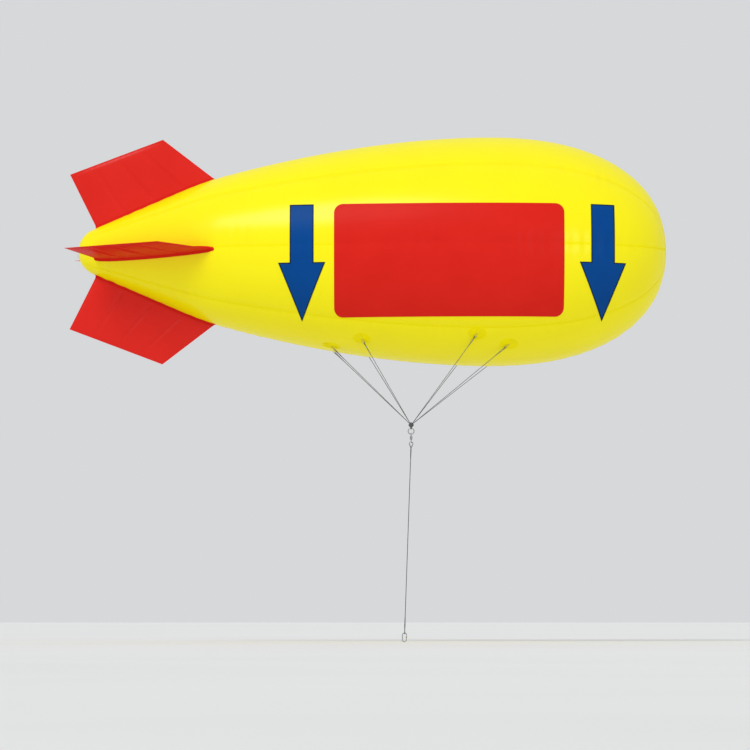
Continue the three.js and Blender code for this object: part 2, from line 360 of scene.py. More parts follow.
def make_piece(
    name: str,
    surface: Surface,
    slot: str,
    finish: "Finish",
    replaces: Sequence[str] = (),
    sharp: float | None = None,
    body: Body = Body.ROOT,
) -> bpy.types.Object:
    """Turns a surface into a finished piece that rides on a body.

    Args:
        name: the piece's name.
        surface: its points and faces.
        slot: not used.
        finish: its finish.
        replaces: the solids that it stands for.
        sharp: edges that bend by more than this many degrees are shaded sharp.
        body: the body that it moves with.

    Returns:
        The new object.
    """
    mesh = bpy.data.meshes.new(name)
    mesh.from_pydata([point[:] for point in surface.points], [], surface.faces)
    cloth = mesh.uv_layers.new(name="cloth")
    flat = [value for face in surface.cloth for corner in face for value in corner]
    cloth.data.foreach_set("uv", flat)
    work = bmesh.new()
    work.from_mesh(mesh)
    bmesh.ops.remove_doubles(work, verts=work.verts, dist=MERGE_DISTANCE)
    bmesh.ops.recalc_face_normals(work, faces=work.faces)
    work.to_mesh(mesh)
    work.free()
    mesh.polygons.foreach_set("use_smooth", [True] * len(mesh.polygons))
    if sharp is not None:
        mesh.set_sharp_from_angle(angle=radians(sharp))
    mesh.materials.append(finish.material())
    piece = bpy.data.objects.new(name, mesh)
    bpy.context.scene.collection.objects.link(piece)
    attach(piece, body.value)
    if replaces:
        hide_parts(*replaces)
    LOG.info("%s: %d faces on %s", name, len(mesh.polygons), body.value)
    return piece


# Finishes


class Relief(Enum):
    """How strongly a texture's relief shows."""

    TRACE = 0.1
    FAINT = 0.25
    LIGHT = 0.3
    SOFT = 0.4
    FIRM = 0.5
    DEEP = 0.6


class Bench:
    """A new material and the nodes that are wired up on it."""

    def __init__(self, name: str) -> None:
        """Starts a material with one shader.

        Args:
            name: the material's name.
        """
        self.material = bpy.data.materials.new(name)
        self.material.use_nodes = True
        self.tree = self.material.node_tree
        self.shader = self.tree.nodes["Principled BSDF"]
        place = self.tree.nodes.new("ShaderNodeTexCoord")
        self.place = place.outputs["Object"]
        self.cloth = place.outputs["UV"]

    def set(self, **values: float | Colour) -> None:
        """Sets the shader's own sockets, named with underscores for spaces."""
        for name, value in values.items():
            socket = self.shader.inputs[name.replace("_", " ")]
            socket.default_value = (*value, 1.0) if isinstance(value, tuple) else value

    def node(self, kind: str, wires: dict[str | int, object], **settings: object) -> bpy.types.Node:
        """Adds a node.

        Args:
            kind: the node's type.
            wires: value or output socket for each input.
            settings: the node's own options.

        Returns:
            The node.
        """
        node = self.tree.nodes.new(kind)
        for name, value in settings.items():
            setattr(node, name, value)
        for name, value in wires.items():
            if isinstance(value, bpy.types.NodeSocket):
                self.tree.links.new(value, node.inputs[name])
            else:
                node.inputs[name].default_value = value
        return node

    def noise(
        self, scale: float, detail: float = 3, distortion: float = 0, stretch: Colour = (1, 1, 1)
    ) -> object:
        """Adds a noise with so many spots to a metre.

        Args:
            scale: spots to a metre.
            detail: how many times finer noise is laid over it.
            distortion: how much it swirls.
            stretch: factor of the scale along each axis.

        Returns:
            The noise's value.
        """
        spread = self.node("ShaderNodeMapping", {"Vector": self.place, "Scale": stretch})
        wires = {"Vector": spread.outputs[0], "Scale": scale, "Detail": detail, "Distortion": distortion}
        return self.node("ShaderNodeTexNoise", wires).outputs["Fac"]

    def math(self, operation: str, *values: object) -> object:
        """Adds a sum of one to three values."""
        return self.node("ShaderNodeMath", dict(enumerate(values)), operation=operation).outputs[0]

    def split(self, vector: object) -> list[object]:
        """Returns the three parts of a vector."""
        return list(self.node("ShaderNodeSeparateXYZ", {0: vector}).outputs)

    def span(self, value: object, low: float, high: float) -> object:
        """Spreads a value from 0.3 to 0.7 between two others."""
        wires = {"Value": value, "From Min": 0.3, "From Max": 0.7, "To Min": low, "To Max": high}
        return self.node("ShaderNodeMapRange", wires).outputs[0]

    def colours(self, share: object, first: Colour, second: Colour) -> object:
        """Mixes two colours by a share."""
        wires = {"Factor": share, 6: (*first, 1), 7: (*second, 1)}
        return self.node("ShaderNodeMix", wires, data_type="RGBA").outputs[2]

    def mottle(self, spots: object, first: Colour, second: Colour) -> None:
        """Mixes the base colour from two by a noise."""
        self.wire("Base Color", self.colours(self.span(spots, 0, 1), first, second))

    def sine(self, value: object, pitch: float) -> object:
        """Adds a wave of a value, with the given length of one wave."""
        return self.math("SINE", self.math("MULTIPLY", value, TURN / pitch))

    def bump(self, height: object, depth: float, relief: Relief, below: object = None) -> object:
        """Adds relief of a given depth, on top of earlier relief if there is any.

        Args:
            height: the relief's height.
            depth: how deep it is, in metres.
            relief: how strongly it shows.
            below: the earlier relief's normal.

        Returns:
            The new normal.
        """
        wires = {"Height": height, "Distance": depth, "Strength": relief.value}
        if below is not None:
            wires["Normal"] = below
        return self.node("ShaderNodeBump", wires).outputs[0]

    def wire(self, socket: str, value: object) -> None:
        """Joins an output to one of the shader's sockets."""
        self.tree.links.new(value, self.shader.inputs[socket])

    def lacquer(self, weight: float, roughness: float, relief: object) -> None:
        """Lays a thin glossy layer on a matt colour, and gives both the same relief.

        Args:
            weight: how strong the layer is.
            roughness: how blurred its reflections are.
            relief: the normal of both.
        """
        self.set(Specular_IOR_Level=0.0, Coat_Weight=weight, Coat_Roughness=roughness)
        self.wire("Coat Normal", relief)
        self.wire("Normal", relief)


@dataclass(frozen=True)
class FilmFinish:
    """Inflated film: even colour, soft gloss, fine peel and faint creases; its welds are embossed."""

    name: str
    colour: Colour
    shade: Colour
    roughness: float = 0.24
    gloss: float = 0.46
    embossed: bool = False
    dulling: float = 0.12
    tones: tuple[float, int] = (2.1, 4)
    dullness: tuple[float, int] = (6, 4)
    peel_scale: float = 420
    peel_depth: float = 0.0002
    crease_scale: float = 6
    crease_swirl: float = 0.5
    crease_stretch: Colour = (0.6, 1, 1)
    crease_depth: float = 0.0012
    rib_pitch: float = 0.006
    rib_rows: int = 5
    rib_depth: float = 0.0004

    def relief(self, bench: Bench) -> object:
        """Adds peel and creases, and ribs on a weld.

        Args:
            bench: the material's bench.

        Returns:
            The relief's normal.
        """
        relief = bench.bump(bench.noise(self.peel_scale, 2), self.peel_depth, Relief.FAINT)
        creases = bench.noise(self.crease_scale, 2, self.crease_swirl, self.crease_stretch)
        relief = bench.bump(creases, self.crease_depth, Relief.FIRM, relief)
        if not self.embossed:
            return relief
        along, over, _ = bench.split(bench.cloth)
        ribs, rows = bench.sine(along, self.rib_pitch), bench.sine(over, 1 / self.rib_rows)
        return bench.bump(bench.math("MULTIPLY", ribs, rows), self.rib_depth, Relief.FIRM, relief)

    def build(self) -> bpy.types.Material:
        """Makes the material.

        Returns:
            The material.
        """
        bench = Bench(self.name)
        bench.mottle(bench.noise(*self.tones), self.colour, self.shade)
        dull = bench.noise(*self.dullness)
        bench.wire("Roughness", bench.span(dull, self.roughness, self.roughness + self.dulling))
        bench.lacquer(self.gloss, self.roughness, self.relief(bench))
        return bench.material


@dataclass(frozen=True)
class PrintFinish(FilmFinish):
    """Printed film with a fine woven backing that shows through."""

    roughness: float = 0.36
    gloss: float = 0.13
    tones: tuple[float, int] = (3.2, 5)
    dullness: tuple[float, int] = (18, 3)
    crease_stretch: Colour = (1, 1, 1)
    crease_depth: float = 0.001
    thread: float = 0.0016
    weave_depth: float = 0.0002

    def relief(self, bench: Bench) -> object:
        """Adds the weave and creases.

        Args:
            bench: the material's bench.

        Returns:
            The relief's normal.
        """
        along, _, height = bench.split(bench.place)
        warp, weft = bench.sine(along, self.thread), bench.sine(height, self.thread)
        relief = bench.bump(bench.math("MULTIPLY", warp, weft), self.weave_depth, Relief.FAINT)
        creases = bench.noise(self.crease_scale, 2, self.crease_swirl, self.crease_stretch)
        return bench.bump(creases, self.crease_depth, Relief.SOFT, relief)


@dataclass(frozen=True)
class WovenFinish:
    """Braided rope, twine or webbing, whose yarns cross along its length, with painted shade in the valleys
    between them.
    """

    name: str
    colour: Colour
    # painted shade: the dark colour laid in the low valleys between the yarns
    gap: Colour
    pitch: float
    yarns: int
    depth: float = 0.0006
    sheen: float = 0.25
    sheen_roughness: float = 0.5
    crown: float = 0.7
    dirt_scale: float = 60
    dull_scale: float = 150
    fuzz_scale: float = 1800
    fuzz_depth: float = 0.0001
    dirt: tuple[float, float] = (0.7, 1.0)
    roughness: tuple[float, float] = (0.7, 0.9)

    def build(self) -> bpy.types.Material:
        """Makes the material.

        Returns:
            The material.
        """
        bench = Bench(self.name)
        bench.set(Specular_IOR_Level=0.25, Sheen_Weight=self.sheen, Sheen_Roughness=self.sheen_roughness)
        along, around, _ = bench.split(bench.cloth)
        lengthwise = bench.math("MULTIPLY", along, TURN / self.pitch)
        sideways = bench.math("MULTIPLY", around, TURN * self.yarns)
        left = bench.math("SINE", bench.math("ADD", lengthwise, sideways))
        right = bench.math("SINE", bench.math("SUBTRACT", lengthwise, sideways))
        wires = {"Value": bench.math("MAXIMUM", left, right), "From Min": 1.0, "From Max": self.crown}
        yarn = bench.node("ShaderNodeMapRange", wires).outputs[0]
        # the base colour darkens to the gap colour where the yarns' relief is low, a painted shade, and
        # further by random real dirt
        tone = bench.math("MULTIPLY", yarn, bench.span(bench.noise(self.dirt_scale, 4), *self.dirt))
        bench.wire("Base Color", bench.colours(tone, self.gap, self.colour))
        bench.wire("Roughness", bench.span(bench.noise(self.dull_scale), *self.roughness))
        relief = bench.bump(yarn, self.depth, Relief.DEEP)
        fuzz = bench.noise(self.fuzz_scale, 2)
        bench.wire("Normal", bench.bump(fuzz, self.fuzz_depth, Relief.SOFT, relief))
        return bench.material


@dataclass(frozen=True)
class SteelFinish:
    """Brushed stainless steel with faint scratches and handling marks."""

    name: str
    colour: Colour
    roughness: float = 0.3
    marked: float = 0.75
    mark_scale: float = 60
    mark_swirl: float = 0.4
    mark_depth: float = 0.0001
    brush_scale: float = 900
    brush_stretch: Colour = (1, 1, 0.12)
    brush_depth: float = 0.00006
    brush_dulling: tuple[float, float] = (-0.08, 0.16)

    def build(self) -> bpy.types.Material:
        """Makes the material.

        Returns:
            The material.
        """
        bench = Bench(self.name)
        bench.set(Metallic=1.0)
        marks = bench.noise(self.mark_scale, 6, self.mark_swirl)
        dull = tuple(part * self.marked for part in self.colour)
        bench.mottle(marks, self.colour, dull)
        brushed = bench.noise(self.brush_scale, 3, 0, self.brush_stretch)
        low, high = (self.roughness + more for more in self.brush_dulling)
        bench.wire("Roughness", bench.span(brushed, low, high))
        relief = bench.bump(marks, self.mark_depth, Relief.TRACE)
        bench.wire("Normal", bench.bump(brushed, self.brush_depth, Relief.LIGHT, relief))
        return bench.material


@dataclass(frozen=True)
class PlasticFinish:
    """Moulded plastic with a fine grain and slightly yellowed patches."""

    name: str
    colour: Colour
    aged: Colour
    patch_scale: float = 25
    grain_scale: float = 1500
    grain_depth: float = 0.0001
    roughness: tuple[float, float] = (0.42, 0.56)

    def build(self) -> bpy.types.Material:
        """Makes the material.

        Returns:
            The material.
        """
        bench = Bench(self.name)
        bench.set(Specular_IOR_Level=0.4, IOR=1.5)
        bench.mottle(bench.noise(self.patch_scale, 4), self.colour, self.aged)
        grain = bench.noise(self.grain_scale, 2)
        bench.wire("Roughness", bench.span(grain, *self.roughness))
        bench.wire("Normal", bench.bump(grain, self.grain_depth, Relief.SOFT))
        return bench.material


@dataclass(frozen=True)
class FloorFinish:
    """Plain pale floor."""

    name: str
    colour: Colour
    shade: float = 0.97
    cloud_scale: float = 0.3

    def build(self) -> bpy.types.Material:
        """Makes the material.

        Returns:
            The material.
        """
        bench = Bench(self.name)
        bench.set(Roughness=0.9, Specular_IOR_Level=0.1)
        shade = tuple(part * self.shade for part in self.colour)
        bench.mottle(bench.noise(self.cloud_scale), self.colour, shade)
        return bench.material


class Finish(Enum):
    """Every finish on the blimp and round it."""

    YELLOW_FILM = FilmFinish("hull_film", (1.0, 0.895, 0.0), (0.985, 0.87, 0.0))
    YELLOW_WELD = FilmFinish("hull_weld", (0.985, 0.87, 0.0), (0.96, 0.84, 0.0), 0.4, 0.2, embossed=True)
    RED_FILM = FilmFinish("fin_film", (0.73, 0.018, 0.011), (0.7, 0.016, 0.009), 0.28, 0.3)
    RED_WELD = FilmFinish("fin_weld", (0.7, 0.017, 0.01), (0.66, 0.015, 0.008), 0.45, 0.08, embossed=True)
    RED_PRINT = PrintFinish("sign_print", (0.72, 0.018, 0.011), (0.69, 0.016, 0.009))
    BLUE_PRINT = PrintFinish("arrow_print", (0.0008, 0.064, 0.28), (0.0006, 0.058, 0.26))
    DARK_PRINT = PrintFinish("arrow_outline_print", (0.004, 0.012, 0.035), (0.003, 0.009, 0.026))
    PATCH_FABRIC = PrintFinish("patch_cloth", (0.98, 0.87, 0.0), (0.95, 0.83, 0.0), 0.5, 0.1, thread=0.0024)
    # each woven finish's second colour is the painted shade in the valleys between its yarns
    ROPE = WovenFinish("grey_rope", (0.16, 0.162, 0.168), (0.03, 0.031, 0.034), 0.0085, 5, 0.0004)
    WEBBING = WovenFinish("yellow_webbing", (0.93, 0.79, 0.02), (0.5, 0.38, 0.01), 0.004, 9, 0.0003)
    THREAD = WovenFinish("thread", (0.42, 0.42, 0.4), (0.25, 0.25, 0.24), 0.001, 2, 0.0001)
    YELLOW_THREAD = WovenFinish("patch_thread", (0.95, 0.85, 0.12), (0.7, 0.55, 0.02), 0.001, 2, 0.0001)
    STEEL = SteelFinish("brushed_steel", (0.42, 0.43, 0.445), 0.34)
    BRASS = SteelFinish("brass_gate", (0.5, 0.36, 0.16), 0.36)
    VALVE_PLASTIC = PlasticFinish("valve_moulding", (0.82, 0.8, 0.73), (0.76, 0.72, 0.6))
    FLOOR = FloorFinish("pale_floor", (0.86, 0.86, 0.85))

    @cache
    def material(self) -> bpy.types.Material:
        """Returns the finish's material, made the first time that it is asked for."""
        return self.value.build()


# Hull


@dataclass(frozen=True)
class Wander:
    """A value that wanders smoothly along the hull and differs from seam to seam."""

    along: float
    across: float
    start: float
    middle: float
    spread: float

    def at(self, x: float, seam: int) -> float:
        """Returns the value at a place along one seam."""
        place = Vector((x * self.along, seam * self.across, self.start))
        return self.middle + self.spread * noise.noise(place)


@dataclass(frozen=True)
class HullShape:
    """Outline of the hull, with the bulge of its gores and the puckers beside their seams."""

    max_radius: float = 1.170
    widest_x: float = 0.665
    nose_length: float = 1.817
    nose_power: float = 2.285
    body_fall: float = 0.418
    body_run: float = 2.768
    body_power: float = 1.84
    tail_slope: float = 0.43
    tail_start_x: float = -3.374
    tail_start_radius: float = 0.228
    blend: float = 0.031
    gores: int = 8
    bulge: float = 0.008
    dip: float = 0.0035
    dip_width: float = 0.04
    pucker: float = 0.0032
    pucker_length: float = 0.13
    pucker_width: float = 0.11
    pucker_turn: float = 2.1
    pucker_strength: Wander = Wander(3.9, 5.3, 0.4, 0.6, 1.2)
    pucker_drift: Wander = Wander(2.9, 3.7, 8.2, 0.0, 3.2)
    slack_start_radius: float = 0.25
    nose_girth: float = 1.3
    slope_step: float = 0.0005
    side_rounds: int = 4

    @property
    def tail_radius(self) -> float:
        """Radius of the round tail tip."""
        return self.tail_start_radius * hypot(1, self.tail_slope)

    @property
    def tail_centre_x(self) -> float:
        """Centre of the round tail tip."""
        return self.tail_start_x + self.tail_start_radius * self.tail_slope

    @property
    def nose_x(self) -> float:
        """Place of the nose tip."""
        return self.widest_x + self.nose_length

    def radius(self, x: float) -> float:
        """Returns the hull's radius at a place along its axis.

        Args:
            x: place along the axis.

        Returns:
            The radius.
        """
        if x >= self.widest_x:
            share = min((x - self.widest_x) / self.nose_length, 1)
            return self.max_radius * (1 - share**self.nose_power) ** (1 / self.nose_power)
        if x <= self.tail_start_x:
            return sqrt(max(self.tail_radius**2 - (x - self.tail_centre_x) ** 2, 0))
        body = self.max_radius - self.body_fall * ((self.widest_x - x) / self.body_run) ** self.body_power
        cone = self.tail_start_radius + self.tail_slope * (x - self.tail_start_x)
        near = max(self.blend - abs(body - cone), 0) / self.blend
        return min(body, cone) - near * near * self.blend / 4

    def slope(self, x: float) -> float:
        """Returns how much the radius grows for each metre towards the nose."""
        step = self.slope_step
        return (self.radius(x + step) - self.radius(x - step)) / (2 * step)

    def slack(self, x: float, angle: float) -> float:
        """Returns how far the film stands proud of the outline, below zero beside a seam.

        Args:
            x: place along the axis.
            angle: angle round the axis.

        Returns:
            The distance above the outline.
        """
        pitch = TURN / self.gores
        seam = round(angle / pitch)
        radius = self.radius(x)
        turned = abs(angle - seam * pitch)
        away = turned * radius
        share = min(radius / self.slack_start_radius, 1) ** 2
        seam %= self.gores
        turn = TURN * x / self.pucker_length + self.pucker_drift.at(x, seam) + self.pucker_turn * seam
        wave = self.pucker_strength.at(x, seam) * sin(turn)
        pucker = self.pucker * wave * exp(-((away / self.pucker_width) ** 2))
        dip = self.dip * exp(-((away / self.dip_width) ** 2))
        bulge = self.bulge * (0.5 - (1 - 2 * turned / pitch) ** 2) * radius / self.max_radius
        return (bulge + pucker - dip) * share

    def normal(self, x: float, angle: float) -> Vector:
        """Returns the hull's outward direction."""
        return Vector((-self.slope(x), cos(angle), sin(angle))).normalized()

    def point(self, x: float, angle: float, lift: float = 0) -> Vector:
        """Returns a point on the film, or above it by a lift.

        Args:
            x: place along the axis.
            angle: angle round the axis.
            lift: distance above the film.

        Returns:
            The point.
        """
        radius = self.radius(x) + self.slack(x, angle)
        place = Vector((x, radius * cos(angle), radius * sin(angle)))
        return place + self.normal(x, angle) * lift

    def side_point(self, x: float, z: float, side: Side, lift: float) -> Vector:
        """Returns the point on one side of the film that has a given height.

        Args:
            x: place along the axis.
            z: height above the axis.
            side: the side of the blimp.
            lift: distance above the film.

        Returns:
            The point.
        """
        radius = self.radius(x)
        angle = 0.0
        for _ in range(self.side_rounds):
            up = asin(max(-1, min(1, z / radius)))
            angle = up if side is Side.PORT else pi - up
            radius = self.radius(x) + self.slack(x, angle)
        return self.point(x, angle, lift)

    def near(self, x: float, angle: float, along: float, around: float, lift: float = 0) -> Vector:
        """Returns the point that lies some way along and around the hull from another.

        Args:
            x: place of the first point along the axis.
            angle: its angle round the axis.
            along: distance to go towards the nose, on the film.
            around: distance to go round the hull.
            lift: distance above the film.

        Returns:
            The point.
        """
        there = x + along / hypot(1, self.slope(x))
        return self.point(there, angle + around / self.radius(there), lift)

    def stations(self, step: float, tail_opening: float) -> list[float]:
        """Returns the places of the skin's rings, evenly spaced on the film.

        Args:
            step: distance between rings.
            tail_opening: radius of the hole in the tail tip.

        Returns:
            Places along the axis, from tail to nose.
        """
        opening = asin(tail_opening / self.tail_radius)
        cone = atan2(1, self.tail_slope)
        count = round(self.tail_radius * (cone - opening) / step)
        turns = [opening + (cone - opening) * i / count for i in range(count)]
        tail = [self.tail_centre_x - self.tail_radius * cos(turn) for turn in turns]
        length = self.widest_x - self.tail_start_x
        count = round(length / step)
        body = [self.tail_start_x + length * i / count for i in range(count)]
        count = round(self.nose_length * self.nose_girth / step)
        turns = [pi / 2 * i / count for i in range(count)]
        nose = [self.widest_x + self.nose_length * sin(turn) for turn in turns]
        return tail + body + nose


@dataclass(frozen=True)
class DomeProfile:
    """Outline of a round patch on the hull: radius and lift, from its top centre to below its rim."""

    points: tuple[tuple[float, float], ...]
    segments: int = 48
    smallest: float = 0.0004

    def on_hull(self, hull: HullShape, x: float, angle: float) -> Surface:
        """Lays the patch on the hull at a place.

        Args:
            hull: the hull.
            x: place along the axis.
            angle: angle round the axis.

        Returns:
            The patch.
        """
        turns = [TURN * j / self.segments for j in range(self.segments)]
        rings = []
        for radius, lift in self.points:
            reach = max(radius, self.smallest)
            rings.append([
                hull.near(x, angle, reach * cos(turn), reach * sin(turn), lift) for turn in turns
            ])
        return loft(rings)


@dataclass
class HullCover:
    """The hull's film with its weld tapes and its nose patch.

    The tape's section gives shares of its half width and of its lift. The nose patch has a double middle
    and a single margin, whose rows give shares of its radius and of its lift: two weld beads and the rim.
    """

    hull: HullShape
    ring_step: float = 0.016
    gore_columns: int = 20
    evenness: float = 0.4
    tail_opening: float = 0.064
    tape_start: float = 0.092
    tape_half: float = 0.012
    tape_lift: float = 0.0009
    tape_thickness: float = 0.0016
    tape_end_radius: float = 0.17
    tape_taper_radius: float = 0.3
    tape_section: Profile = (
        (-1.0, 0.0002), (-0.85, 1.0), (0.0, 1.0), (0.85, 1.0), (1.0, 0.0002),
    )
    nose_rim: float = 0.208
    nose_lift: float = 0.0016
    nose_double: float = 0.52
    nose_double_lift: float = 2.1
    nose_step: float = 0.015
    nose_double_rows: int = 10
    nose_margin_rows: int = 8
    nose_margin: float = 0.9
    nose_welds: Profile = (
        (0.91, 1.45), (0.93, 1.45), (0.94, 1.0), (0.955, 1.0), (0.965, 1.45), (0.985, 1.45), (0.99, 1.0),
        (1.0, 0.8), (1.0, -0.6),
    )
    nose_hollow: float = 0.05
    nose_segments: int = 96

    def column_angles(self) -> list[float]:
        """Returns the angles of the skin's columns, closer together beside the seams.

        Returns:
            The angles, in order.
        """
        pitch = TURN / self.hull.gores
        angles = []
        for gore in range(self.hull.gores):
            for column in range(self.gore_columns):
                share = column / self.gore_columns
                eased = 0.5 - 0.5 * cos(pi * share)
                angles.append(pitch * (gore + self.evenness * share + (1 - self.evenness) * eased))
        return angles

    def close(self, skin: Surface, rim: int, count: int, tip: float) -> None:
        """Closes a ring of a surface with a fan.

        Args:
            skin: the surface that gets the fan.
            rim: index of the ring's first point.
            count: number of points on the ring.
            tip: place of the fan's middle on the axis.
        """
        hub = len(skin.points)
        skin.points.append(Vector((tip, 0, 0)))
        for j in range(count):
            skin.faces.append((hub, rim + j, rim + (j + 1) % count))
            skin.cloth.append(((1, 0), (1, 0), (1, 0)))

    def skin(self) -> Surface:
        """Builds the film from the valve's opening to the nose tip.

        Returns:
            The film.
        """
        angles = self.column_angles()
        stations = self.hull.stations(self.ring_step, self.tail_opening)
        rings = [[self.hull.point(x, angle) for angle in angles] for x in stations]
        skin = loft(rings, capped=False)
        self.close(skin, len(skin.points) - len(angles), len(angles), self.hull.nose_x)
        return skin

    def tapes(self) -> Surface:
        """Builds the weld tape on each seam.

        Returns:
            All tapes.
        """
        stations = self.hull.stations(self.ring_step, self.tape_start)
        stations = [x for x in stations if self.hull.radius(x) > self.tape_end_radius or x < 0]
        tapes = Surface()
        for seam in range(self.hull.gores):
            angle = TURN * seam / self.hull.gores
            grid = []
            for x in stations:
                radius = self.hull.radius(x)
                half = self.tape_half * min(1, radius / self.tape_taper_radius) / radius
                grid.append([
                    self.hull.point(x, angle - share * half, lift * self.tape_lift)
                    for share, lift in self.tape_section
                ])
            tapes.add(sheet(grid, self.tape_thickness))
        return tapes

    def nose_patch(self) -> Surface:
        """Builds the two round layers that cover the gores' ends at the nose.

        Returns:
            The patch.
        """
        double, margin = self.nose_double, self.nose_double + self.nose_step
        rows, count = self.nose_double_rows, self.nose_segments
        profile = [(double * i / rows, self.nose_double_lift) for i in range(1, rows + 1)]
        rows = self.nose_margin_rows
        profile += [(margin + (self.nose_margin - margin) * i / rows, 1.0) for i in range(rows + 1)]
        profile += self.nose_welds
        turns = [TURN * j / count for j in range(count)]
        rings = []
        for share, lift in profile:
            x = self.nose_place(self.nose_rim * share)
            rings.append([self.hull.point(x, turn, lift * self.nose_lift) for turn in turns])
        patch = loft(rings, capped=False)
        tip = self.hull.nose_x
        self.close(patch, 0, count, tip + self.nose_lift * self.nose_double_lift)
        self.close(patch, (len(rings) - 1) * count, count, tip - self.nose_hollow)
        return patch

    def nose_place(self, radius: float) -> float:
        """Returns where on the nose the hull has a given radius."""
        share = 1 - (radius / self.hull.max_radius) ** self.hull.nose_power
        return self.hull.widest_x + self.hull.nose_length * share ** (1 / self.hull.nose_power)

    def build(self) -> None:
        """Makes the hull's pieces."""
        make_piece("hull_skin", self.skin(), "yellow_film", Finish.YELLOW_FILM, ["envelope"])
        make_piece("seam_tapes", self.tapes(), "yellow_film", Finish.YELLOW_WELD, sharp=40)
        patch = self.nose_patch()
        make_piece("nose_cover", patch, "yellow_film", Finish.PATCH_FABRIC, ["nose_patch"], 40)


@dataclass
class FillerValve:
    """Moulded filler at the tail tip: welded collar with raised rims, neck, and ribbed lid with a bar.

    The flange and its rim give radii and lifts above the tail tip. The lid gives radii and heights above
    its face, and the bar places along it with their radii.
    """

    hull: HullShape
    turned_steps: int = 72
    collar_radius: float = 0.088
    neck_radius: float = 0.058
    neck_depth: float = 0.028
    neck_lift: float = 0.0058
    neck_edge_lift: float = 0.0052
    chamfer: float = 0.0012
    flange: Profile = (
        (0.060, 0.0030), (0.070, 0.0026), (0.0715, 0.0038), (0.0745, 0.0038), (0.076, 0.0026),
        (0.083, 0.0024),
    )
    rim: Profile = ((0.087, 0.0018), (0.088, 0.0008), (0.088, -0.001))
    bore: float = 0.0509
    lid_lift: float = 0.0052
    lid_profile: Profile = (
        (NEAR_AXIS, -0.02), (0.048, -0.02), (0.0505, -0.018), (0.0505, 0.0012), (0.0495, 0.0034),
        (0.0465, 0.004), (0.0445, 0.0024), (0.030, 0.0024), (0.0285, 0.0034), (0.0265, 0.0034),
        (0.025, 0.0018), (NEAR_AXIS, 0.0018),
    )
    ribbed_rows: tuple[int, int] = (3, 4)
    ribs: int = 36
    rib_depth: float = 0.0009
    rib_columns: int = 4
    bar_lift: float = 0.0034
    bar: Profile = ((-0.021, 0.0006), (-0.019, 0.0026), (0.0, 0.003), (0.019, 0.0026), (0.021, 0.0006))

    def back(self, radius: float, lift: float) -> float:
        """Returns the distance aft of the tail's centre of a point above the tail tip."""
        return sqrt((self.hull.tail_radius + lift) ** 2 - radius**2)

    def collar(self) -> Surface:
        """Builds the collar with its raised rims, and the neck inside it.

        Returns:
            The collar.
        """
        neck, bore, chamfer = self.neck_radius, self.bore, self.chamfer
        inside = self.back(neck, 0) - self.neck_depth
        lip = self.back(0, self.neck_lift)
        profile = [
            (bore, inside), (bore, lip - chamfer), (bore + chamfer, lip), (neck - chamfer, lip),
            (neck, self.back(neck, self.neck_edge_lift)),
        ]
        profile += [(radius, self.back(radius, lift)) for radius, lift in self.flange]
        profile += [(radius, self.back(self.collar_radius, lift)) for radius, lift in self.rim]
        profile += [(neck, self.back(neck, self.rim[-1][1])), (neck, inside), (bore, inside)]
        return lathe(profile, -X_AXIS, X_AXIS * self.hull.tail_centre_x, self.turned_steps)

    def lid(self) -> Surface:
        """Builds the lid with finger ribs round its edge and a bar across it.

        Returns:
            The lid.
        """
        face = self.hull.tail_centre_x - self.back(0, self.lid_lift)
        count = self.ribs * self.rib_columns
        rings = []
        for index, (radius, height) in enumerate(self.lid_profile):
            depth = self.rib_depth if index in self.ribbed_rows else 0.0
            ring = []
            for j in range(count):
                turn = TURN * j / count
                reach = radius - depth * (1 - cos(turn * self.ribs)) / 2
                ring.append(Vector((face - height, reach * cos(turn), reach * sin(turn))))
            rings.append(ring)
        bar = [Vector((face - self.bar_lift, y, 0)) for y, _ in self.bar]
        thickness = dict(zip(distances(bar), (radius for _, radius in self.bar)))
        return loft(rings).add(sweep(bar, lambda spot: circle(thickness[spot]), X_AXIS))

    def build(self) -> None:
        """Makes the valve's pieces."""
        plastic = Finish.VALVE_PLASTIC
        make_piece("filler_collar", self.collar(), "valve_plastic", plastic, ["filler_flange"], 35)
        make_piece("filler_lid", self.lid(), "valve_plastic", plastic, ["filler_cap"], 35)


# Fins


@dataclass(frozen=True)
class FinPlan:
    """Corners of a fin: place along the axis and distance from it."""

    lead_root: tuple[float, float] = (-2.129, 0.745)
    trail_root: tuple[float, float] = (-3.338, 0.243)
    lead_tip: tuple[float, float] = (-2.662, 1.153)
    trail_tip: tuple[float, float] = (-3.612, 0.794)

    def place(self, chord: float, span: float) -> Vector:
        """Returns a point on the fin's middle plane.

        Args:
            chord: share from the trailing edge to the leading edge.
            span: share from root to tip.

        Returns:
            The point, with the fin standing up in the XZ plane.
        """
        root = Vector(self.trail_root).lerp(Vector(self.lead_root), chord)
        tip = Vector(self.trail_tip).lerp(Vector(self.lead_tip), chord)
        spot = root.lerp(tip, span)
        return Vector((spot.x, 0, spot.y))


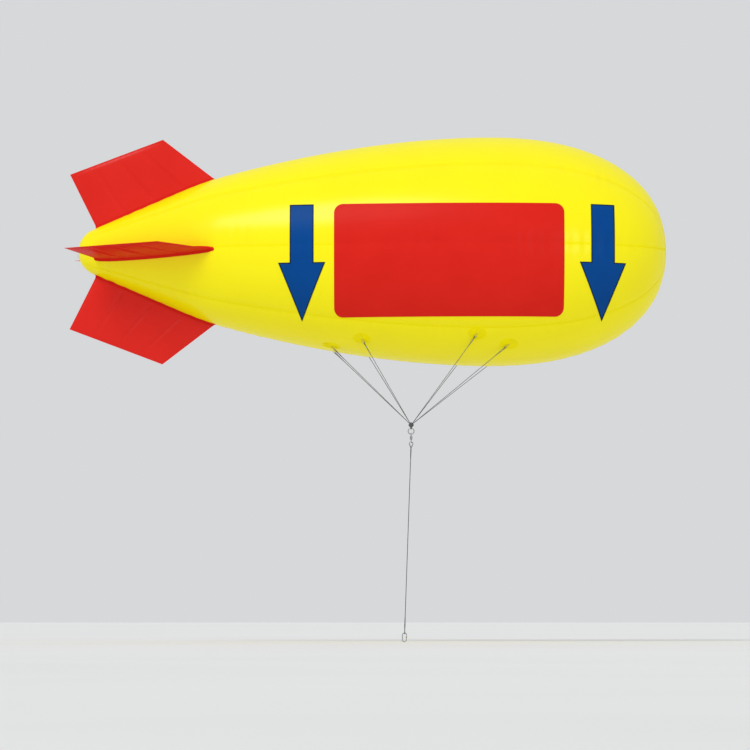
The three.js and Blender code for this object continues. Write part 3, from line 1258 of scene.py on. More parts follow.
@dataclass
class Fin:
    """Inflated fin with welded edges and tie welds, and a skirt round its foot.

    It is turned about the axis from the top, by degrees, and starts some way below it.
    """

    hull: HullShape
    name: str
    turned: float
    below: float
    plan: FinPlan = FinPlan()
    span_length: float = 0.55
    half_thickness: float = 0.031
    edge_half: float = 0.0014
    edge_width: float = 0.014
    edge_chord: float = 0.0115
    edge_span: float = 0.026
    tie_shares: tuple[float, ...] = (0.25, 0.5, 0.75)
    tie_width: float = 0.022
    tie_depth: float = 0.42
    tie_start: float = 0.03
    tie_rise: float = 0.12
    tie_end: float = 0.93
    tie_fall: float = 0.1
    pucker: float = 0.0016
    pucker_length: float = 0.072
    pucker_width: float = 0.045
    pucker_turn: float = 3.0
    root_sunk: float = 0.008
    chord_steps: int = 96
    span_steps: int = 44
    halvings: int = 30
    foot_steps: int = 120
    corner_steps: int = 12
    skirt_steps: int = 8
    skirt_height: float = 0.024
    skirt_width: float = 0.02
    skirt_lift: float = 0.0012
    skirt_sunk: float = -0.0006
    skirt_bend: float = 0.002
    placed: Matrix = field(init=False)

    def __post_init__(self) -> None:
        """Works out the fin's place on the hull."""
        turned = Matrix.Rotation(radians(self.turned), 4, "X")
        self.placed = Matrix.Translation(Z_AXIS * -self.below) @ turned

    def root_span(self, chord: float, offset: float) -> float:
        """Finds where a fin's chord line meets the hull.

        Args:
            chord: share from the trailing edge to the leading edge.
            offset: distance from the fin's middle plane, at the root.

        Returns:
            The share of the span.
        """
        low, high = -0.5, 0.5
        for _ in range(self.halvings):
            middle = (low + high) / 2
            spot = self.placed @ (self.plan.place(chord, middle) + Y_AXIS * offset)
            if hypot(spot.y, spot.z) > self.hull.radius(spot.x):
                high = middle
            else:
                low = middle
        return low

    def half(self, chord: float, span: float) -> float:
        """Returns half of the fin's thickness at a place on it.

        Args:
            chord: share from the trailing edge to the leading edge.
            span: share from root to tip.

        Returns:
            Half of the thickness.
        """
        here = self.plan.place(chord, span)
        to_trail = (here - self.plan.place(0, span)).length
        to_lead = (here - self.plan.place(1, span)).length
        to_tip = (here - self.plan.place(chord, 1)).length
        rim = min(to_trail, to_lead, to_tip)
        if rim <= self.edge_width:
            return self.edge_half
        length = to_trail + to_lead
        inner = (to_trail - self.edge_width) / (length - 2 * self.edge_width)
        reach = max(span, 0) * (1 + self.edge_width / self.span_length)
        crown = sqrt(max(4 * inner * (1 - inner) * (1 - min(reach, 1) ** 2), 0))
        ends = min(1, max(0, (self.tie_end - span) / self.tie_fall))
        ends *= min(1, max(0, (span - self.tie_start) / self.tie_rise))
        tie = sum(exp(-(((chord - share) * length / self.tie_width) ** 2)) for share in self.tie_shares)
        edge = exp(-(((rim - self.edge_width) / self.pucker_width) ** 2))
        spot = span * self.span_length if min(to_trail, to_lead) < to_tip else chord * length
        wave = sin(TURN * spot / self.pucker_length + self.pucker_turn * chord)
        body = (self.half_thickness - self.edge_half) * crown * (1 - self.tie_depth * tie * ends)
        return self.edge_half + body + self.pucker * edge * wave * min(crown * 2, 1)

    def chords(self) -> list[float]:
        """Returns the chord shares of the fin's rows, with rows at the welded edges.

        Returns:
            The shares, in order.
        """
        edge = self.edge_chord
        inner = [edge + (1 - 2 * edge) * i / self.chord_steps for i in range(self.chord_steps + 1)]
        return [0, edge / 2] + inner + [1 - edge / 2, 1]

    def skin(self) -> Surface:
        """Builds one fin's film, from the hull to its tip.

        Returns:
            The film.
        """
        rings = []
        last = 1 - self.edge_span
        for chord in self.chords():
            ring = []
            for side in (-1, 1):
                root = self.root_span(chord, side * self.half(chord, 0))
                root -= self.root_sunk / self.span_length
                spans = [root + (last - root) * j / self.span_steps for j in range(self.span_steps + 1)]
                row = []
                for span in spans + [(last + 1) / 2, 1]:
                    away = Y_AXIS * (side * self.half(chord, span))
                    row.append(self.placed @ (self.plan.place(chord, span) + away))
                ring += row if side < 0 else row[::-1]
            rings.append(ring)
        return loft(rings)

    def foot_places(self) -> list[tuple[float, float, float]]:
        """Returns places round a fin's foot: chord share, share across it and share along it.

        Returns:
            The places, in order.
        """
        chords = [step / self.foot_steps for step in range(self.foot_steps + 1)]
        turns = [pi * step / self.corner_steps for step in range(1, self.corner_steps)]
        places = [(chord, -1.0, 0.0) for chord in chords]
        places += [(1.0, -cos(turn), sin(turn)) for turn in turns]
        places += [(chord, 1.0, 0.0) for chord in reversed(chords)]
        return places + [(0.0, cos(turn), -sin(turn)) for turn in turns]

    def around(self, place: tuple[float, float, float], span: float, away: float) -> tuple[float, float]:
        """Finds a point beside the fin's film.

        Args:
            place: one of the places round the foot.
            span: share from root to tip, for the film's thickness there.
            away: distance from the film.

        Returns:
            The point's chord share and its distance from the middle plane.
        """
        chord, across, along = place
        reach = self.half(chord, span) + away
        length = (self.plan.place(1, span) - self.plan.place(0, span)).length
        return chord + along * reach / length, across * reach

    def on_hull(self, chord: float, offset: float, lift: float) -> Vector:
        """Returns the point above the hull that a chord line meets, at an offset from the fin's plane.

        Args:
            chord: share from the trailing edge to the leading edge.
            offset: distance from the fin's plane.
            lift: distance above the hull.

        Returns:
            The point.
        """
        span = self.root_span(chord, offset)
        spot = self.placed @ (self.plan.place(chord, span) + Y_AXIS * offset)
        return self.hull.point(spot.x, atan2(spot.z, spot.y), lift)

    def skirt(self) -> Surface:
        """Builds the strip round one fin's foot that joins it to the hull.

        Returns:
            The strip.
        """
        steps = list(range(self.skirt_steps + 1))
        faces = ((self.skirt_lift, steps), (self.skirt_sunk, steps[::-1]))
        columns = []
        for place in self.foot_places():
            chord, offset = self.around(place, 0, 0)
            top = self.root_span(chord, offset) + self.skirt_height / self.span_length
            low_chord, low_offset = self.around(place, 0, self.skirt_width)
            column = []
            bend = self.on_hull(chord, offset, self.skirt_bend)
            for lift, order in faces:
                high_chord, high_offset = self.around(place, top, lift)
                high = self.placed @ (self.plan.place(high_chord, top) + Y_AXIS * high_offset)
                low = self.on_hull(low_chord, low_offset, lift)
                for step in order:
                    share = step / self.skirt_steps
                    column.append(high.lerp(bend, share).lerp(bend.lerp(low, share), share))
            columns.append(column)
        return loft(columns, loop=True)

    def build(self) -> None:
        """Makes the fin's film and skirt."""
        name = self.name
        make_piece(f"fin_film_{name}", self.skin(), "red_film", Finish.RED_FILM, [f"fin_{name}"], 50)
        make_piece(f"fin_skirt_{name}", self.skirt(), "red_film", Finish.RED_WELD, sharp=40)


# Artwork


Outline = list[tuple[float, float]]


def frame_quads(outline: Outline, width: float) -> list[Outline]:
    """Splits the border inside an outline into one four-sided part for each edge.

    Args:
        outline: corners (x, z), turning to the left.
        width: the border's width.

    Returns:
        The border's parts.
    """
    count = len(outline)
    inner = []
    for i in range(count):
        here = Vector(outline[i])
        before = (here - Vector(outline[i - 1])).normalized()
        after = (Vector(outline[(i + 1) % count]) - here).normalized()
        left_before, left_after = Vector((-before.y, before.x)), Vector((-after.y, after.x))
        bisector = (left_before + left_after).normalized()
        inner.append(tuple(here + bisector * (width / bisector.dot(left_after))))
    return [
        [outline[i], outline[(i + 1) % count], inner[(i + 1) % count], inner[i]] for i in range(count)
    ]


@dataclass
class Artwork:
    """Arrows with a dark edge and a blank sign with a hem, pressed onto both sides."""

    hull: HullShape
    arrow_shaft_half: float = 0.120
    arrow_head_half: float = 0.237
    arrow_top: float = 0.403
    arrow_shoulder: float = -0.183
    arrow_tip: float = -0.755
    arrow_edge: float = 0.010
    arrow_places: tuple[tuple[str, float], ...] = (("aft", -1.224), ("fore", 1.795))
    sign_aft: float = -0.899
    sign_fore: float = 1.403
    sign_top: float = 0.402
    sign_bottom: float = -0.722
    sign_corner: float = 0.090
    sign_corner_steps: int = 16
    sign_hem: float = 0.026
    few_corners: int = 12
    grid_steps: tuple[float, float] = (0.0125, 0.02)
    lift: float = 0.002
    border_lift: float = 0.0028
    sunk: float = -0.0008

    def pressed(self, parts: list[Outline], side: Side, lift: float, sunk: float) -> Surface:
        """Lays flat convex parts on one side of the hull as one closed film.

        Args:
            parts: outlines (x, z) in side view.
            side: the side of the blimp.
            lift: how far the film's outer face stands above the hull.
            sunk: how far its inner face does.

        Returns:
            The film.
        """
        flat = bmesh.new()
        for part in parts:
            flat.faces.new([flat.verts.new((x, 0, z)) for x, z in part])
        corners = {corner for part in parts for corner in part}
        for axis, normal, step in ((0, X_AXIS, self.grid_steps[0]), (1, Z_AXIS, self.grid_steps[1])):
            values = [corner[axis] for corner in corners]
            first, last = min(values), max(values)
            count = ceil((last - first) / step)
            cuts = {round(first + (last - first) * i / count, 6) for i in range(1, count)}
            if len(corners) < self.few_corners:
                cuts |= {round(value, 6) for value in values}
            for cut in sorted(cuts):
                everything = flat.verts[:] + flat.edges[:] + flat.faces[:]
                bmesh.ops.bisect_plane(
                    flat, geom=everything, dist=MERGE_DISTANCE, plane_co=normal * cut, plane_no=normal
                )
        bmesh.ops.remove_doubles(flat, verts=flat.verts, dist=10 * MERGE_DISTANCE)
        outer = bmesh.ops.extrude_face_region(flat, geom=flat.faces[:])["geom"]
        raised = {item for item in outer if isinstance(item, bmesh.types.BMVert)}
        film = Surface()
        flat.verts.index_update()
        for vert in flat.verts:
            height = lift if vert in raised else sunk
            film.points.append(self.hull.side_point(vert.co.x, vert.co.z, side, height))
        places = [(vert.co.x, vert.co.z) for vert in flat.verts]
        for face in flat.faces:
            ring = [vert.index for vert in face.verts]
            first = ring.index(min(ring))
            film.faces.append(tuple(ring[first:] + ring[:first]))
        flat.free()
        film.faces.sort()
        film.cloth = [tuple(places[index] for index in face) for face in film.faces]
        return film

    def arrow_outline(self, x: float) -> Outline:
        """Returns an arrow's corners, turning to the left.

        Args:
            x: the arrow's middle.

        Returns:
            Corners (x, z).
        """
        shaft, head = self.arrow_shaft_half, self.arrow_head_half
        return [
            (x, self.arrow_tip), (x + head, self.arrow_shoulder), (x + shaft, self.arrow_shoulder),
            (x + shaft, self.arrow_top), (x - shaft, self.arrow_top),
            (x - shaft, self.arrow_shoulder), (x - head, self.arrow_shoulder),
        ]

    def arrow_parts(self, x: float) -> list[Outline]:
        """Returns an arrow's head and shaft.

        Args:
            x: the arrow's middle.

        Returns:
            Their outlines.
        """
        corners = self.arrow_outline(x)
        head = [corners[0], corners[1], corners[2], corners[5], corners[6]]
        return [head, [corners[2], corners[3], corners[4], corners[5]]]

    def sign_outline(self) -> Outline:
        """Returns the sign's corners, turning to the left, with rounded corners.

        Returns:
            Corners (x, z).
        """
        radius = self.sign_corner
        centres = [
            (self.sign_fore - radius, self.sign_bottom + radius, -90),
            (self.sign_fore - radius, self.sign_top - radius, 0),
            (self.sign_aft + radius, self.sign_top - radius, 90),
            (self.sign_aft + radius, self.sign_bottom + radius, 180),
        ]
        corners = []
        for x, z, start in centres:
            for step in range(self.sign_corner_steps + 1):
                turn = radians(start + 90 * step / self.sign_corner_steps)
                corners.append((x + radius * cos(turn), z + radius * sin(turn)))
        return corners

    def build(self) -> None:
        """Makes the artwork of both sides."""
        sign = self.sign_outline()
        for side in Side:
            name = side.name.lower()
            for place, x in self.arrow_places:
                tag = f"{place}_{name}"
                face = self.pressed(self.arrow_parts(x), side, self.lift, self.sunk)
                edge = frame_quads(self.arrow_outline(x), self.arrow_edge)
                border = self.pressed(edge, side, self.border_lift, 0.0)
                nodes = [f"arrow_{tag}"]
                make_piece(f"arrow_face_{tag}", face, "blue_print", Finish.BLUE_PRINT, nodes, 40)
                make_piece(f"arrow_edge_{tag}", border, "blue_print", Finish.DARK_PRINT, sharp=40)
            face = self.pressed([sign], side, self.lift, self.sunk)
            hem = self.pressed(frame_quads(sign, self.sign_hem), side, self.border_lift, 0.0)
            make_piece(f"sign_face_{name}", face, "red_print", Finish.RED_PRINT, [f"sign_{name}"], 40)
            make_piece(f"sign_hem_{name}", hem, "red_print", Finish.RED_PRINT, sharp=40)


# Lines


@dataclass(frozen=True)
class Rope:
    """Braided rope, with the plaits that stand out along it."""

    radius: float
    sides: int = 12
    step: float = 0.004
    relief: float = 0.07
    plaits: int = 3
    plait_steps: int = 4
    twine_columns: int = 14

    def along(
        self,
        path: Sequence[Vector],
        scale: Callable[[float], float] | None = None,
        closed: bool = False,
        across: Vector | None = None,
    ) -> Surface:
        """Lays the rope along a path.

        Args:
            path: points about a step apart.
            scale: thickness share at a distance along the path, where it isn't 1.
            closed: whether the path's last point joins its first.
            across: the direction that stays across a flat path.

        Returns:
            The rope's surface.
        """

        def section(spot: float) -> Section:
            """Returns the section at a distance along the rope.

            Args:
                spot: distance along it.

            Returns:
                The section's points.
            """
            share = self.radius * (scale(spot) if scale else 1)
            beat = cos(TURN * spot / (self.plait_steps * self.step))
            points = []
            for j in range(self.sides):
                turn = TURN * j / self.sides
                plait = cos(self.plaits * turn) * beat
                reach = share * (1 - self.relief / 2 + self.relief / 2 * plait)
                points.append((reach * cos(turn), reach * sin(turn)))
            return points

        return sweep(path, section, across, closed)

    def whipping(self, start: Vector, end: Vector, share: float) -> Surface:
        """Winds twine round the rope between two points.

        Args:
            start: first end of the winding.
            end: its other end.
            share: the winding's radius, as a share of the rope's.

        Returns:
            The twine's surface.
        """
        axis = (end - start).normalized()
        first = axis.orthogonal().normalized()
        second = axis.cross(first)
        reach = self.radius * share
        count = self.twine_columns * max(2, round((end - start).length / (2 * TWINE_RADIUS)))
        path = []
        for i in range(count + 1):
            turn = TURN * i / self.twine_columns
            centre = start.lerp(end, i / count)
            path.append(centre + first * reach * cos(turn) + second * reach * sin(turn))
        return sweep(path, lambda spot: circle(TWINE_RADIUS, TWINE_SIDES))


def splice(spot: float, length: float, swell: float) -> float:
    """Returns how thick a tapered splice makes a rope.

    Args:
        spot: distance from the splice's thick end.
        length: the splice's length.
        swell: how much thicker the rope is at the thick end.

    Returns:
        The thickness, as a share of the rope's own.
    """
    return 1 + swell * max(0.0, 1 - spot / length) ** SPLICE_POWER


def teardrop(
    centre: Vector, away: Vector, sideways: Vector, radius: float, point: float, steps: int
) -> list[Vector]:
    """Returns a loop that is round at one end and pointed at the other.

    Args:
        centre: centre of the round end.
        away: direction towards the point.
        sideways: the loop's other direction.
        radius: radius of the round end.
        point: distance from the centre to the point.
        steps: number of steps on the round end.

    Returns:
        The loop's points, from its point round and back to just before it.
    """
    opening = degrees(acos(radius / point))
    tip = centre + away * point
    bow = arc(centre, away * radius, sideways * radius, opening, 360 - opening, steps)
    return straight(tip, bow[0], EYE_STEP)[:-1] + bow + straight(bow[-1], tip, EYE_STEP)[1:-1]


@dataclass
class BridleLine:
    """One line from its load patch on the hull to the knot, with the patch's webbing and ring.

    Lifts are above the hull. Reaches are distances along the line, from where its webbing leaves the
    patch.
    """

    hull: HullShape
    knot: Vector
    side: Side
    place: str
    x: float
    below: float
    patch: DomeProfile = DomeProfile((
        (0.0, 0.0028), (0.02, 0.0028), (0.04, 0.0028), (0.058, 0.0028), (0.0595, 0.0018), (0.07, 0.0018),
        (0.0765, 0.0018), (0.0775, 0.0023), (0.0795, 0.0023), (0.0805, 0.0018), (0.0825, 0.0018),
        (0.0835, 0.0023), (0.0855, 0.0023), (0.0865, 0.0016), (0.0895, 0.0012), (0.09, -0.001),
        (0.0, -0.001),
    ))
    start_lift: float = 0.0044
    flat_length: float = 0.078
    flat_steps: int = 9
    strap_half: float = 0.0105
    strap_thickness: float = 0.0017
    strap_play: float = 0.0001
    strap_reaches: tuple[float, ...] = (0.006, 0.012, 0.02, 0.027)
    strap_columns: tuple[float, ...] = (-1, -0.5, 0, 0.5, 1)
    strap_turn_steps: int = 8
    cover_half: float = 0.028
    cover_thickness: float = 0.0012
    cover_foot: float = 0.006
    cover_rounding: tuple[float, float] = (0.72, 0.93)
    stitch_length: float = 0.004
    stitch_gap: float = 0.0018
    stitch_thread: float = 0.0005
    box_inset: float = 0.0025
    hem_inset: float = 0.004
    bar_reach: float = 0.034
    ring_reach: float = 0.054
    ring_half: float = 0.0135
    ring_corner: float = 0.004
    ring_corner_steps: int = 5
    ring_bow_steps: int = 24
    ring_wire: float = 0.0023
    ring_sides: int = 10
    eye_play: float = 0.0002
    eye_steps: int = 12
    splice_start: float = 0.094
    splice_length: float = 0.11
    splice_swell: float = 0.85
    throat_half: float = 0.0015
    whipping_gap: float = 0.001
    whipping_length: float = 0.014
    whipping_share: float = 1.9
    knot_radius: float = 0.024
    rope: Rope = Rope(0.003)
    angle: float = field(init=False)
    start: Vector = field(init=False)
    out: Vector = field(init=False)
    pull: Vector = field(init=False)
    across: Vector = field(init=False)
    up: Vector = field(init=False)

    def __post_init__(self) -> None:
        """Works out where the line starts, and its directions."""
        low = radians(self.below)
        self.angle = pi + low if self.side is Side.STARBOARD else -low
        self.start = self.hull.point(self.x, self.angle, self.start_lift)
        self.out = self.hull.normal(self.x, self.angle)
        self.pull = (self.knot - self.start).normalized()
        self.across = self.out.cross(self.pull).normalized()
        self.up = self.pull.cross(self.across)

    def at(self, reach: float) -> Vector:
        """Returns the point on the line at a distance from its start."""
        return self.start + self.pull * reach

    def flat_points(self, lift: float) -> list[Vector]:
        """Returns points above the patch from the webbing's end to where it leaves.

        Args:
            lift: distance above the hull.

        Returns:
            The points, in order.
        """
        slope = self.hull.slope(self.x)
        turned = Vector((0, cos(self.angle), sin(self.angle)))
        axial = (X_AXIS + turned * slope).normalized()
        along, around = self.pull.dot(axial), self.pull.dot(X_AXIS.cross(turned))
        size = hypot(along, around)
        points = []
        for i in range(self.flat_steps):
            reach = -self.flat_length * (1 - i / self.flat_steps)
            there = (reach * along / size, reach * around / size)
            points.append(self.hull.near(self.x, self.angle, *there, lift))
        return points

    def strap_path(self) -> list[Vector]:
        """Returns the webbing's outer face, out over the ring's bar and back under itself.

        Returns:
            The points, in order.
        """
        half = self.strap_thickness / 2 + self.strap_play
        middle = self.flat_points(self.start_lift) + [self.start]
        middle += [self.at(reach) for reach in self.strap_reaches]
        over, under = [], []
        count = len(middle)
        for i, point in enumerate(middle):
            tangent = (middle[min(i + 1, count - 1)] - middle[max(i - 1, 0)]).normalized()
            normal = tangent.cross(self.across)
            gap = half * 2 if i < count - 1 else self.ring_wire + half * 1.6
            over.append(point + normal * gap)
            under.append(point - normal * (gap - half * 2))
        reach = self.ring_wire + self.strap_thickness
        bar, steps = self.at(self.bar_reach), self.strap_turn_steps
        return over + arc(bar, self.up * reach, self.pull * reach, 0, 180, steps) + under[::-1]

    def strap(self) -> Surface:
        """Builds the doubled webbing from its sewn flat part out to the ring's bar.

        Returns:
            The webbing.
        """
        grid = [
            [point + self.across * (share * self.strap_half) for share in self.strap_columns]
            for point in self.strap_path()
        ]
        return sheet(grid, self.strap_thickness)

    def cover_row(self, half: float, low: float, top: float) -> Section:
        """Returns one row of the cover, from its middle ridge over the webbing down to its margins.

        Args:
            half: half of the row's width.
            low: lift of the margins.
            top: lift of the ridge.

        Returns:
            Points (distance across, lift).
        """
        edge, foot = self.strap_half + self.strap_play * 5, self.strap_half + self.cover_foot
        side = [(half, low), (foot + (half - foot) / 2, low), (foot, low), (edge, top)]
        return [(-reach, lift) for reach, lift in side] + [(0.0, top)] + side[::-1]

    def cover(self) -> Surface:
        """Builds the fabric that covers the webbing's sewn part, rounded beyond the webbing's end.

        Returns:
            The cover.
        """
        low = self.patch.points[0][1] + self.cover_thickness
        top = self.start_lift + self.strap_thickness + self.cover_thickness + self.strap_play * 2
        spine = self.flat_points(0.0)
        before = [spine[0] + (spine[0] - spine[1]) * share for share in (1, 0.5)]
        rows = [self.cover_row(self.cover_half * share, low, low) for share in self.cover_rounding]
        rows += [self.cover_row(self.cover_half, low, top)] * len(spine)
        grid = [
            [point + self.across * reach + self.out * lift for reach, lift in row]
            for point, row in zip(before + spine, rows)
        ]
        return sheet(grid, self.cover_thickness)

    def strap_stitches(self) -> Surface:
        """Sews the box and cross that hold the webbing, and the cover's two hems.

        Returns:
            The stitches.
        """
        top = self.start_lift + self.strap_thickness + self.cover_thickness + self.strap_play * 3
        box = self.flat_points(top)
        low, high = box[1], box[-2]
        side = self.across * (self.strap_half - self.box_inset)
        rows = [
            [low - side, high - side], [low + side, high + side], [low - side, low + side],
            [high - side, high + side], [low - side, high + side], [low + side, high - side],
        ]
        edge = self.flat_points(self.patch.points[0][1] + self.cover_thickness + self.strap_play)
        hem = self.across * (self.cover_half - self.hem_inset)
        rows += [[point + hem * way for point in edge] for way in (-1, 1)]
        sewn = Surface()
        for row in rows:
            sewn.add(stitches(row, self.out, self.stitch_length, self.stitch_gap, self.stitch_thread))
        return sewn

    def ring(self) -> Surface:
        """Builds the ring between webbing and line, with one straight bar.

        Returns:
            The ring.
        """
        low, wide = self.pull * self.ring_corner, self.across * self.ring_corner
        bar = self.at(self.bar_reach)
        side = self.across * self.ring_half - wide
        bow = self.pull * (self.ring_reach - self.bar_reach) - low
        path = straight(bar - side, bar + side, EYE_STEP)
        path += arc(bar + side + low, -low, wide, 0, 90, self.ring_corner_steps)[1:]
        path += arc(bar + low, side + wide, bow, 0, 180, self.ring_bow_steps)[1:]
        path += arc(bar - side + low, -wide, -low, 0, 90, self.ring_corner_steps)[1:-1]
        return sweep(path, lambda spot: circle(self.ring_wire, self.ring_sides), self.up, closed=True)

    def line(self) -> Surface:
        """Builds a line with its eye round the ring, down to the knot.

        Returns:
            The line.
        """
        reach = self.ring_wire + self.rope.radius + self.eye_play
        bow, steps = self.at(self.ring_reach), self.eye_steps
        bend = arc(bow, self.up * reach, -self.pull * reach, 0, 180, steps)
        throat = self.at(self.splice_start + EYE_STEP)
        half = self.up * self.throat_half
        lead = straight(throat + half, bend[0], EYE_STEP)[:-1]
        tail = straight(bend[-1], throat - half, EYE_STEP)[1:]
        eye = self.rope.along(lead + bend + tail, across=self.across)
        end = self.knot - self.pull * self.knot_radius
        body = straight(self.at(self.splice_start), end, self.rope.step)
        length, swell = self.splice_length, self.splice_swell
        return eye.add(self.rope.along(body, lambda spot: splice(spot, length, swell)))

    def whipping(self) -> Surface:
        """Winds twine round the throat of a line's eye.

        Returns:
            The twine.
        """
        near = self.splice_start + self.whipping_gap
        ends = self.at(near), self.at(near + self.whipping_length)
        return self.rope.whipping(*ends, self.whipping_share)

    def build(self) -> None:
        """Makes the load patch with its webbing and ring, and the line."""
        tag = f"{self.place}_{self.side.name.lower()}"
        disc = self.patch.on_hull(self.hull, self.x, self.angle)
        parts = (
            ("patch_disc", disc, "patch_fabric", Finish.PATCH_FABRIC, [f"load_patch_{tag}"], 40),
            ("patch_webbing", self.strap(), "patch_fabric", Finish.WEBBING, (), 50),
            ("patch_cover", self.cover(), "patch_fabric", Finish.PATCH_FABRIC, (), 40),
            ("patch_stitches", self.strap_stitches(), "patch_fabric", Finish.YELLOW_THREAD, (), None),
            ("patch_ring", self.ring(), "steel", Finish.STEEL, (), None),
            ("line", self.line(), "rope", Finish.ROPE, [f"bridle_{tag}"], None),
            ("line_whipping", self.whipping(), "rope", Finish.THREAD, (), None),
        )
        for name, surface, slot, finish, nodes, sharp in parts:
            make_piece(f"{name}_{tag}", surface, slot, finish, nodes, sharp)


@dataclass
class BridleKnot:
    """Round knot of three bands of rope, with two bights through the ring below."""

    centre: Vector
    rope: Rope = Rope(0.003, sides=10, step=0.003)
    reach: float = 0.022
    lift: float = 0.003
    spacing: float = 0.0062
    band_steps: int = 60
    core: float = 0.019
    core_steps: int = 16
    core_sides: int = 24
    bight_aside: float = 0.0034
    bight_drop: float = 0.0333
    bight_radius: float = 0.0083
    bight_length: float = 0.016
    bight_steps: int = 14

    def bands(self) -> Surface:
        """Builds the knot's bands, each over one of the others and under the third.

        Returns:
            The bands, with a ball inside them.
        """
        knot = Surface()
        axes = [(X_AXIS, Y_AXIS, Z_AXIS), (Z_AXIS, X_AXIS, Y_AXIS), (Y_AXIS, Z_AXIS, X_AXIS)]
        for first, second, normal in axes:
            for row in (-1, 0, 1):
                offset = row * self.spacing
                path = []
                for i in range(self.band_steps):
                    turn = TURN * i / self.band_steps
                    reach = sqrt(self.reach**2 - offset**2) + self.lift * cos(2 * turn)
                    spot = first * (reach * cos(turn)) + second * (reach * sin(turn))
                    path.append(self.centre + spot + normal * offset)
                knot.add(self.rope.along(path, closed=True, across=normal))
        turns = [pi * i / self.core_steps for i in range(1, self.core_steps)]
        ball = [(self.core * sin(turn), -self.core * cos(turn)) for turn in turns]
        ball = [(NEAR_AXIS, -self.core)] + ball + [(NEAR_AXIS, self.core)]
        return knot.add(lathe(ball, Z_AXIS, self.centre, self.core_sides))

    def bights(self) -> Surface:
        """Builds the two loops that pass under the ring's wire.

        Returns:
            The loops.
        """
        loops = Surface()
        wide, deep = Y_AXIS * self.bight_radius, Z_AXIS * self.bight_radius
        rise = Z_AXIS * self.bight_length
        for aside in (-self.bight_aside, self.bight_aside):
            low = self.centre + X_AXIS * aside - Z_AXIS * self.bight_drop
            bend = arc(low, wide, -deep, 0, 180, self.bight_steps)
            lead = straight(low + wide + rise, bend[0], self.rope.step)[:-1]
            tail = straight(bend[-1], low - wide + rise, self.rope.step)[1:]
            loops.add(self.rope.along(lead + bend + tail, across=X_AXIS))
        return loops

    def build(self) -> None:
        """Makes the knot."""
        knot = self.bands().add(self.bights())
        make_piece("knot_bands", knot, "rope", Finish.ROPE, ["bridle_knot"])


# Swivel and tether


@dataclass(frozen=True)
class SteelEye:
    """Steel eye that thickens towards its shank."""

    radius: float = 0.014
    wire: float = 0.004
    steps: int = 40
    sides: int = 14
    swell_share: float = 0.3

    def build(self, centre: Vector, shank: Vector, swell: float) -> Surface:
        """Builds the eye across X.

        Args:
            centre: centre of the eye.
            shank: direction towards the shank.
            swell: how much thicker the wire is at the shank.

        Returns:
            The eye.
        """
        path = arc(centre, shank * self.radius, Y_AXIS * self.radius, 0, 360, self.steps)[:-1]
        half = pi * self.radius

        def section(spot: float) -> Section:
            """Returns the wire's section at a distance from the shank.

            Args:
                spot: distance along it.

            Returns:
                The section's points.
            """
            away = min(spot, 2 * half - spot) / half
            thicker = swell * exp(-((away / self.swell_share) ** 2))
            return circle(self.wire * (1 + thicker), self.sides)

        return sweep(path, section, shank.cross(Y_AXIS), closed=True)


